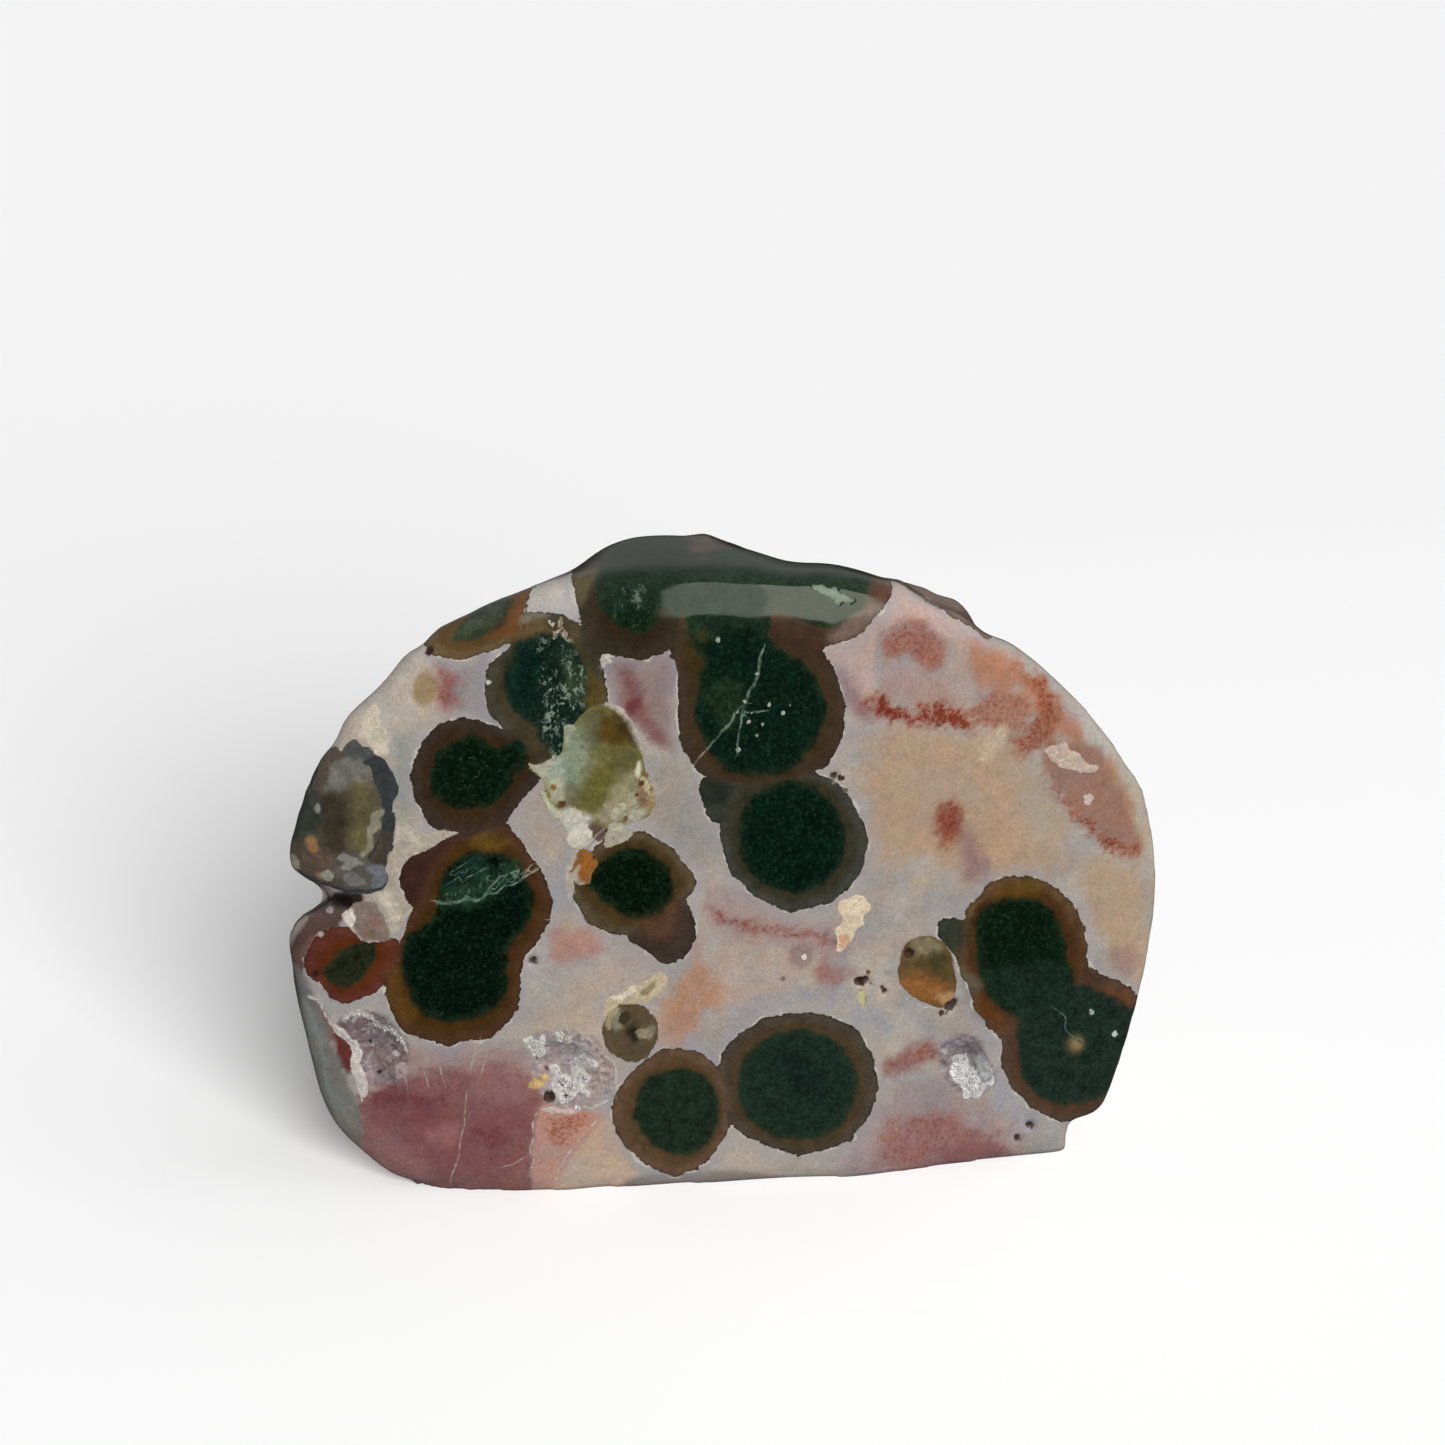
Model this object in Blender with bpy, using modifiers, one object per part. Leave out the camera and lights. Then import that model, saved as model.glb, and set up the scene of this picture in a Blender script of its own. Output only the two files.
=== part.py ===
"""A polished freeform of ocean jasper, cut as a half moon that stands on its flat base.

The stone is one solid. Its frame is in metres, with +X along the length, +Y to the back and
+Z up, and the origin is under the middle of the stone, on the surface that it stands on.

The making follows the lapidary's: a half-moon blank is sawn to thickness, its back and
shoulders are ground down, its face is crowned and the edges are tumbled round. The natural
cleft, the crystal pockets and the pits stay open. The flat base is cut last.
"""

import bmesh
import bpy
import numpy as np
from mathutils import Matrix, Vector

MM = 0.001

# The blank: its thickness, and the half moon seen from the front as (x, z) in mm. The base
# runs below zero, because the saw takes it off at the end.
THICKNESS = 33.0 * MM
BASE_ALLOWANCE = 3.0
OUTLINE = [
    (-21.0, -BASE_ALLOWANCE),
    (-28.5, -0.6),
    (-35.0, 1.2),
    (-39.0, 5.0),
    (-41.0, 10.0),
    (-41.9, 16.0),
    (-42.8, 23.0),
    (-43.9, 30.0),
    (-43.4, 37.0),
    (-41.6, 43.3),
    (-39.0, 49.2),
    (-34.8, 54.2),
    (-30.2, 58.8),
    (-23.6, 61.6),
    (-16.0, 64.2),
    (-6.0, 64.8),
    (5.0, 64.4),
    (13.5, 63.0),
    (20.5, 60.0),
    (26.6, 56.6),
    (32.0, 52.6),
    (37.0, 47.6),
    (41.2, 41.6),
    (43.8, 35.2),
    (44.5, 28.5),
    (44.1, 21.5),
    (42.9, 14.5),
    (41.0, 7.0),
    (37.5, -BASE_ALLOWANCE),
]

# Grinding the back: how much narrower the stone is at its back than at its face, as a share
# of the distance from the middle of the base, for each direction seen from the front.
# 0 degrees is to the right, and 90 is up.
BACK_TAPER = [
    (0, 0.08),
    (25, 0.14),
    (48, 0.20),
    (56, 0.14),
    (62, 0.05),
    (80, 0.05),
    (97, 0.01),
    (104, 0.10),
    (112, 0.20),
    (132, 0.22),
    (145, 0.12),
    (156, 0.00),
    (180, -0.06),
]
TAPER_POWER = 1.5

# Crowning: how far the face and the back fall away from flat towards the rim.
HALF_LENGTH = 43.0 * MM
FACE_CENTRE = 18.0 * MM
FACE_CENTRE_HEIGHT = 36.0 * MM
FACE_CROWN_ALONG = 3.2 * MM
FACE_CROWN_UP = 1.5 * MM
BACK_CENTRE_HEIGHT = 22.0 * MM
BACK_CROWN_ALONG = 6.5 * MM
BACK_CROWN_UP = 6.0 * MM

# Tumbling: the size of the skin's faces, and the rounds of smoothing. The back has rounds of
# its own, which come in over a depth, because its edges are the roundest.
SKIN_FACE = 1.0 * MM
TUMBLE_FACTOR = 0.5
TUMBLE_ROUNDS = 30
BACK_ROUNDS = 160
BACK_EASE = 3.0 * MM, 12.0 * MM
FINE_ROUNDS = 4

# Last touches of the wheel on the tumbled stone, as (place, radius, push), all in mm. They
# leave the saddle to the right of the top, and the hump behind the right shoulder.
STROKES = [
    ((10.5, 5.0, 61.0), 6.0, (0.0, 0.0, -1.7)),
    ((19.0, 5.0, 58.0), 7.0, (0.0, 0.0, -0.8)),
    ((3.5, 8.0, 61.5), 3.2, (0.0, 0.0, 0.8)),
    ((-7.5, 8.0, 62.0), 6.0, (0.0, 0.0, -0.5)),
    ((25.6, 4.5, 54.2), 5.0, (0.4, 0.0, 2.2)),
    ((31.8, 4.0, 50.0), 4.0, (0.0, 0.0, -1.2)),
    ((-43.0, 0.0, 22.0), 8.0, (-0.8, 0.0, 0.0)),
]

# The cleft in the left end, as an outline seen from the front, (x, z) in mm. It falls towards
# the back by a share of its depth.
CLEFT = [
    (-50.0, 43.0),
    (-43.4, 38.6),
    (-41.0, 36.8),
    (-38.6, 35.7),
    (-35.6, 34.9),
    (-35.6, 34.1),
    (-38.6, 34.0),
    (-41.2, 33.5),
    (-43.2, 32.0),
    (-50.0, 24.0),
]
CLEFT_DEPTH = 60.0 * MM
CLEFT_FALL = 0.38

# The right end overhangs a low foot.
FOOT_END = 35.7 * MM
FOOT_HEIGHT = 3.4 * MM

# Crystal pockets in the face, as (place on the face, length, height, depth), in mm
POCKETS = [
    ((-35.7, 16.5), 5.6, 6.4, 1.2),
    ((24.0, 11.9), 3.9, 4.2, 1.4),
    ((-17.6, 14.2), 7.4, 6.0, 0.8),
]
POCKET_ROUNDNESS = 3

# Pits in the face that the polish didn't reach, in the same form
PITS = [
    ((-18.7, 10.7), 1.2, 1.1, 0.9),
    ((12.7, 22.0), 1.1, 1.0, 0.8),
    ((21.6, 18.0), 1.8, 1.3, 0.7),
    ((30.6, 3.0), 2.0, 1.3, 0.6),
]
PIT_ROUNDNESS = 2

# Making the solid: the reach of the saw cuts, the number of faces, the weld of loose edges,
# and the angle from which an edge is drawn sharp.
SAW_REACH = 60.0 * MM
TRIANGLES = 9000
WELD = 0.01 * MM
SHARP_ANGLE = np.radians(40)

# The overall finish
STONE_COLOUR = (0.36, 0.29, 0.27, 1.0)
POLISH_ROUGHNESS = 0.12


def clear_scene():
    """Removes what the startup file holds."""
    for obj in list(bpy.data.objects):
        bpy.data.objects.remove(obj, do_unlink=True)


def new_collection(name):
    """A collection in the scene."""
    collection = bpy.data.collections.new(name)
    bpy.context.scene.collection.children.link(collection)
    return collection


def outline_curve(name, points, depth, collection):
    """A filled outline of (x, z) points in mm, extruded along Y, sharp at its two ends."""
    curve = bpy.data.curves.new(name, "CURVE")
    curve.dimensions = "2D"
    curve.fill_mode = "BOTH"
    curve.extrude = depth / 2
    curve.resolution_u = 5
    spline = curve.splines.new("BEZIER")
    spline.use_cyclic_u = True
    spline.bezier_points.add(len(points) - 1)
    for point, (x, z) in zip(spline.bezier_points, points):
        kind = "VECTOR" if (x, z) in (points[0], points[-1]) else "AUTO"
        point.co = (x * MM, z * MM, 0)
        point.handle_left_type = kind
        point.handle_right_type = kind
    obj = bpy.data.objects.new(name, curve)
    obj.rotation_euler.x = np.pi / 2
    collection.objects.link(obj)
    return obj


def made_mesh(obj, name, collection):
    """The object's evaluated shape as a plain mesh object, in place of the object."""
    bpy.context.view_layer.update()
    graph = bpy.context.evaluated_depsgraph_get()
    mesh = bpy.data.meshes.new_from_object(obj.evaluated_get(graph))
    mesh.transform(obj.matrix_world)
    bpy.data.objects.remove(obj, do_unlink=True)
    weld = bmesh.new()
    weld.from_mesh(mesh)
    bmesh.ops.remove_doubles(weld, verts=weld.verts, dist=WELD)
    bmesh.ops.recalc_face_normals(weld, faces=weld.faces)
    weld.to_mesh(mesh)
    weld.free()
    made = bpy.data.objects.new(name, mesh)
    collection.objects.link(made)
    return made


def even_skin(stone, collection):
    """The stone with its skin in small even faces."""
    remesh = stone.modifiers.new("even_skin", "REMESH")
    remesh.mode = "VOXEL"
    remesh.voxel_size = SKIN_FACE
    return made_mesh(stone, "stone", collection)


def half_moon_blank(collection):
    """The sawn blank: a slab in the outline of a half moon."""
    slab = outline_curve("blank", OUTLINE, THICKNESS, collection)
    return even_skin(made_mesh(slab, "blank", collection), collection)


def eased(angles, table):
    """Reads a table of (angle, amount) at the angles, with a soft ease between its rows."""
    at, amounts = np.array(table, float).T
    row = np.clip(np.searchsorted(at, angles) - 1, 0, len(at) - 2)
    share = np.clip((angles - at[row]) / (at[row + 1] - at[row]), 0, 1)
    share = share * share * (3 - 2 * share)
    return amounts[row] * (1 - share) + amounts[row + 1] * share


def ground(points):
    """The blank's points after grinding: back narrowed, and face and back crowned."""
    x, y, z = points.T
    depth = np.clip(y / THICKNESS + 0.5, 0, 1)
    direction = np.degrees(np.arctan2(np.maximum(z, 0), x))
    keep = 1 - eased(direction, BACK_TAPER) * depth**TAPER_POWER
    face = FACE_CROWN_ALONG * ((x - FACE_CENTRE) / HALF_LENGTH) ** 2
    face += FACE_CROWN_UP * ((z - FACE_CENTRE_HEIGHT) / FACE_CENTRE_HEIGHT) ** 2
    back = BACK_CROWN_ALONG * (x / HALF_LENGTH) ** 2
    back += BACK_CROWN_UP * ((z - BACK_CENTRE_HEIGHT) / FACE_CENTRE_HEIGHT) ** 2
    return np.stack([x * keep, y + (1 - depth) * face - depth * back, z * keep], axis=1)


def touched_up(points):
    """The tumbled stone's points after the last strokes of the wheel."""
    for place, radius, push in STROKES:
        away = np.linalg.norm(points - np.array(place) * MM, axis=1)
        fade = np.exp(-((away / (radius * MM)) ** 2))
        points = points + fade[:, None] * np.array(push) * MM
    return points


def falling(points):
    """The cleft's points, lower the further back they are."""
    x, y, z = points.T
    return np.stack([x, y, z - (y + THICKNESS / 2) * CLEFT_FALL], axis=1)


def move_points(obj, moved):
    """Gives the mesh's points to a function and puts back what it returns."""
    points = np.empty(len(obj.data.vertices) * 3)
    obj.data.vertices.foreach_get("co", points)
    obj.data.vertices.foreach_set("co", moved(points.reshape(-1, 3)).ravel())
    obj.data.update()


def back_group(stone):
    """A vertex group that comes in from the stone's middle to its back."""
    group = stone.vertex_groups.new(name="back")
    start, full = BACK_EASE
    for vertex in stone.data.vertices:
        share = (vertex.co.y - start) / (full - start)
        group.add([vertex.index], min(max(share, 0), 1), "REPLACE")
    return group.name


def tumble(stone, rounds, group=""):
    """Rounds the edges, as tumbling with grit does."""
    smooth = stone.modifiers.new("tumble", "SMOOTH")
    smooth.factor = TUMBLE_FACTOR
    smooth.iterations = rounds
    smooth.vertex_group = group


def helper(obj):
    """Marks an object as a cutter, which isn't part of the stone."""
    obj.hide_render = True
    obj.display_type = "WIRE"
    return obj


def cleft_cutter(collection):
    """The natural cleft that opens the left end from face to back."""
    wedge = outline_curve("cleft_cutter", CLEFT, CLEFT_DEPTH, collection)
    wedge = made_mesh(wedge, "cleft_cutter", collection)
    move_points(wedge, falling)
    return helper(wedge)


def box_cutter(name, low, high, collection):
    """A box between two corners."""
    mesh = bpy.data.meshes.new(name)
    made = bmesh.new()
    low, high = Vector(low), Vector(high)
    place = Matrix.Translation((high + low) / 2) @ Matrix.Diagonal((*(high - low), 1))
    bmesh.ops.create_cube(made, size=1, matrix=place)
    made.to_mesh(mesh)
    made.free()
    obj = bpy.data.objects.new(name, mesh)
    collection.objects.link(obj)
    return helper(obj)


def face_depth(stone, x, z):
    """Where the face lies at a place seen from the front, as its Y."""
    hit, place, _, _ = stone.ray_cast(Vector((x, -1, z)), Vector((0, 1, 0)))
    if not hit:
        raise ValueError("a pocket misses the stone")
    return place.y


def pocket_cutter(name, stone, pocket, roundness, collection):
    """A lens-shaped cutter for one pocket or pit, half sunk in the face."""
    (x, z), length, height, depth = pocket
    middle = Vector((x * MM, face_depth(stone, x * MM, z * MM), z * MM))
    size = Matrix.Diagonal((length / 2 * MM, depth * MM, height / 2 * MM, 1))
    mesh = bpy.data.meshes.new(name)
    made = bmesh.new()
    place = Matrix.Translation(middle) @ size
    bmesh.ops.create_icosphere(made, subdivisions=roundness, radius=1, matrix=place)
    made.to_mesh(mesh)
    made.free()
    obj = bpy.data.objects.new(name, mesh)
    collection.objects.link(obj)
    return helper(obj)


def cut(stone, cutter):
    """Takes the cutter's space out of the stone."""
    boolean = stone.modifiers.new(cutter.name, "BOOLEAN")
    boolean.operation = "DIFFERENCE"
    boolean.solver = "EXACT"
    boolean.object = cutter


def open_pockets(stone, parts, cutters):
    """Opens the crystal pockets and the pits in the face."""
    for index, pocket in enumerate(POCKETS, start=1):
        name = f"pocket_cutter_{index}"
        cut(stone, pocket_cutter(name, stone, pocket, POCKET_ROUNDNESS, cutters))
    for index, pit in enumerate(PITS, start=1):
        name = f"pit_cutter_{index}"
        cut(stone, pocket_cutter(name, stone, pit, PIT_ROUNDNESS, cutters))
    return made_mesh(stone, "stone", parts)


def fewer_faces(stone, parts):
    """The stone with about the set number of triangles."""
    fewer = stone.modifiers.new("fewer_faces", "DECIMATE")
    fewer.ratio = TRIANGLES / sum(len(face.vertices) - 2 for face in stone.data.polygons)
    return made_mesh(stone, "stone", parts)


def put_over_origin(stone):
    """Slides the stone along X and Y until its middle is over the origin."""
    corners = np.array(stone.bound_box)
    middle = (corners.min(axis=0) + corners.max(axis=0)) / 2
    stone.data.transform(Matrix.Translation((-middle[0], -middle[1], 0)))


def polished_jasper():
    """The stone's overall finish: polished orbicular jasper, pale between dark green orbs."""
    material = bpy.data.materials.new("polished_ocean_jasper")
    material.use_nodes = True
    shader = material.node_tree.nodes["Principled BSDF"]
    shader.inputs["Base Color"].default_value = STONE_COLOUR
    shader.inputs["Roughness"].default_value = POLISH_ROUGHNESS
    shader.inputs["Metallic"].default_value = 0.0
    return material


def main():
    clear_scene()
    parts = new_collection("ocean_jasper_half_moon")
    cutters = new_collection("cutters")
    far = SAW_REACH

    stone = half_moon_blank(parts)
    move_points(stone, ground)
    tumble(stone, BACK_ROUNDS, back_group(stone))
    tumble(stone, TUMBLE_ROUNDS)
    stone = made_mesh(stone, "stone", parts)
    move_points(stone, touched_up)

    foot = (FOOT_END, -far, -far), (far, far, FOOT_HEIGHT)
    cut(stone, cleft_cutter(cutters))
    cut(stone, box_cutter("foot_cutter", *foot, cutters))
    stone = even_skin(stone, parts)
    tumble(stone, FINE_ROUNDS)
    stone = made_mesh(stone, "stone", parts)

    stone = open_pockets(stone, parts, cutters)
    stone = fewer_faces(stone, parts)
    cut(stone, box_cutter("base_saw", (-far, -far, -far), (far, far, 0), cutters))
    stone = made_mesh(stone, "stone", parts)
    put_over_origin(stone)
    stone.data.materials.append(polished_jasper())
    stone.data.shade_smooth()
    stone.data.set_sharp_from_angle(angle=SHARP_ANGLE)


main()
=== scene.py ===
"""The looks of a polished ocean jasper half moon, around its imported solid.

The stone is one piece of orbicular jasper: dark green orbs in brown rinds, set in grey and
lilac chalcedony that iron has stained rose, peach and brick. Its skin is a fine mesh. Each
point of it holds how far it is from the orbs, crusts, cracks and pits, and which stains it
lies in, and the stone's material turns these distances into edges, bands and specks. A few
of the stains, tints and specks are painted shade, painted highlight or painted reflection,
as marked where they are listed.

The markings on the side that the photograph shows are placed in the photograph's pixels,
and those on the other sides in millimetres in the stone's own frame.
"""

import math

import bmesh
import bpy
import numpy as np
from mathutils import Matrix, Vector, noise
from mathutils.bvhtree import BVHTree


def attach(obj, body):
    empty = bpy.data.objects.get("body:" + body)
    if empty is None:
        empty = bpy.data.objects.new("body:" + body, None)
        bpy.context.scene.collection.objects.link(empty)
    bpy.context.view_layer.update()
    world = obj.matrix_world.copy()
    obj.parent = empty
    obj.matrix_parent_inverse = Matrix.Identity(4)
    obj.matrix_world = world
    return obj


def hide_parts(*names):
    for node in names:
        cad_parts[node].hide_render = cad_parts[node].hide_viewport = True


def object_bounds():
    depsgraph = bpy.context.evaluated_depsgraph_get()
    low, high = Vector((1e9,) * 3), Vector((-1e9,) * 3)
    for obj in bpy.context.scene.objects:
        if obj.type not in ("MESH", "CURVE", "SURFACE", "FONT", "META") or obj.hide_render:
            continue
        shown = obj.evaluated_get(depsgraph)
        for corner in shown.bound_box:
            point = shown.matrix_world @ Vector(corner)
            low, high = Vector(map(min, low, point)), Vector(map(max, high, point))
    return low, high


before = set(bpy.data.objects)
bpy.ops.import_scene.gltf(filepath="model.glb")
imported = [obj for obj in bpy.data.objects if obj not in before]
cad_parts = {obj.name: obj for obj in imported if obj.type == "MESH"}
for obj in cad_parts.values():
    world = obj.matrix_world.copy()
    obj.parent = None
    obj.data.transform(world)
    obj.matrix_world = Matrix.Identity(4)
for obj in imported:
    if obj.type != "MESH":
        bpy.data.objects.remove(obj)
cad_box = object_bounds()

MM = 0.001

# The photograph's frame and the camera that it was matched with, in pixels, degrees and mm
FRAME_SIDE = 1445
LENS = 70.0
SENSOR = 36.0
FOCAL_PIXELS = FRAME_SIDE * LENS / SENSOR
CAMERA_AZIMUTH = -11.0
CAMERA_ELEVATION = 18.0
FOOT_MIDDLE = (-0.345, -14.91, 0.0)
FOOT_MIDDLE_PIXEL = (735, 1184)
FOOT_DEPTH = 287.0
PIXELS_PER_MM = 9.8

# The window: its middle in degrees right of the front and above the floor, its strength, and
# how fast that fades away from the middle
WINDOW_AZIMUTH = 67.6
WINDOW_ELEVATION = -19.0
WINDOW_STRENGTH = 3.67
WINDOW_FADE = 2.3

# The greys that the polish mirrors from the room, from straight below (0) to straight above (1)
ROOM_LEVELS = [(0.0, 0.10), (0.22, 0.05), (0.30, 0.02), (0.45, 0.03), (0.52, 0.16), (0.65, 0.22),
    (1.0, 0.30)]

# What the floor throws back at the stone, from its right side to its left
THROWN_BACK = {"From Min": 0.6, "From Max": -0.9, "To Min": 0.15, "To Max": 0.8}

# The floor's reach in m, and its grey from in front of the stone to behind it: a painted falloff of
# light, darker towards the back
FLOOR_REACH = 9.0
FLOOR_FALLOFF_GREYS = {"From Min": -0.04, "From Max": 0.25, "To Min": 0.915, "To Max": 0.84}

# The suns: name, degrees right of the front and above the floor, strength, width in degrees
SUNS = [
    ("key_on_paper", 8.7, 19.8, 6.2, 35), ("key_on_stone", 30, 38, 1.8, 55),
    ("fill_on_stone", -85, 12, 1.5, 90), ("fill_behind", 176, 6, 0.8, 70),
]

# The softbox and its flap that the crest's bevel mirrors: across and up, and depth, in mm
SOFTBOX = [(-8, 46), (14, 41), (28, 41), (38, 34), (56, 56), (84, 120), (118, 190), (70, 300),
    (20, 240), (6, 215), (-2, 88)]
FLAP = [(-9, 44), (14, 39), (18, 40), (25, 90), (38, 190), (46, 275), (20, 245), (4, 217),
    (-4, 88)]
SOFTBOX_DEPTH = -180
FLAP_DEPTH = -179

# The low lamp on the right: the spot on the stone that it faces, in mm, and its warm light
LAMP_SPOT = (36, -15, 12)
LAMP_COLOUR = "#ffd48b"

# The skin's mesh: sizes in mm, and rounds and steps of smoothing
MERGE = 0.001
SKIN_GRID = 0.74
SKIN_ROUNDS = 45
FINE_ROUNDS = 8
SMOOTH_IN = 0.6
SMOOTH_OUT = -0.63
BASE_SKIN = 0.31

# How far behind what the camera sees the fine mesh ends, and how softly marks fade there, in mm
SHOWN_DEPTH = 1.0
FADE_DEPTH = 4.0

# How much of the smoothing the pockets and the cleft are spared, at gaps in pixels from none
# of it to all of it
SPARED = 0.85
SPARED_GAPS = (14, 4)
CLEFT = [(285, 905), (320, 880), (362, 886), (362, 906), (330, 912)]

# How many pixels round the small marks the skin is finest, for outlines and for specks
FINE_MARGIN = 5
SPECK_MARGIN = 4

# How far noise moves the loose outlines, in pixels, and the half width in mm of a plain vein
WARP = 5.0
VEIN_HALF_WIDTH = 0.12

# The crusts and the slate rind as balls, by their radius in mm, like the orbs' own
CRUST_BALL = 3.0
SLATE_BALL = 5.0

# Relief in mm: pits, the druse's grain and its mean, white lines and crusts
PIT_DEPTH = 0.45
DRUSE_GRAIN = 0.5
DRUSE_RISE = 0.1
RISES = {"white_line": 0.12, "crust": 0.05}

# Quartz points: spacing in mm, least and most scale, lean and turn in radians, and the least
# green, in linear light, of the white crusts that they grow on
CRYSTAL_SPACING = 0.22
CRYSTAL_SIZES = (0.16, 0.38)
CRYSTAL_LEAN = (0.45, 0.45, 3.1)
PALE_CRUST = 0.36

# Chalcedony and clear quartz bend light alike
QUARTZ_IOR = 1.54

# Small corrections of the skin's outline: place and reach in pixels, and shift in mm
NUDGES = [
    ((380, 678), 45, (0.42, 0.0, -0.52)), ((490, 600), 26, (-0.15, 0.0, 0.25)),
    ((330, 740), 20, (0.6, 0.0, -0.2)), ((790, 558), 30, (0.0, 0.0, -0.5)),
    ((705, 535), 14, (0.0, 0.0, 0.42)), ((900, 582), 12, (0.2, 0.0, 0.42)),
    ((940, 591), 14, (-0.3, 0.0, -0.45)), ((985, 632), 18, (-0.3, 0.0, -0.45)),
    ((1140, 790), 25, (0.3, 0.0, 0.1)), ((365, 1150), 35, (0.65, 0.0, 0.2)),
    ((856, 1168), 58, (0.0, -0.9, 0.0)), ((550, 1188), 40, (0.0, -0.3, 0.0)),
    ((1062, 1150), 9, (0.5, 0.0, 0.0)), ((1076, 1122), 9, (-0.5, 0.0, 0.0)),
    ((420, 640), 15, (0.25, 0.0, -0.4)),
]

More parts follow.
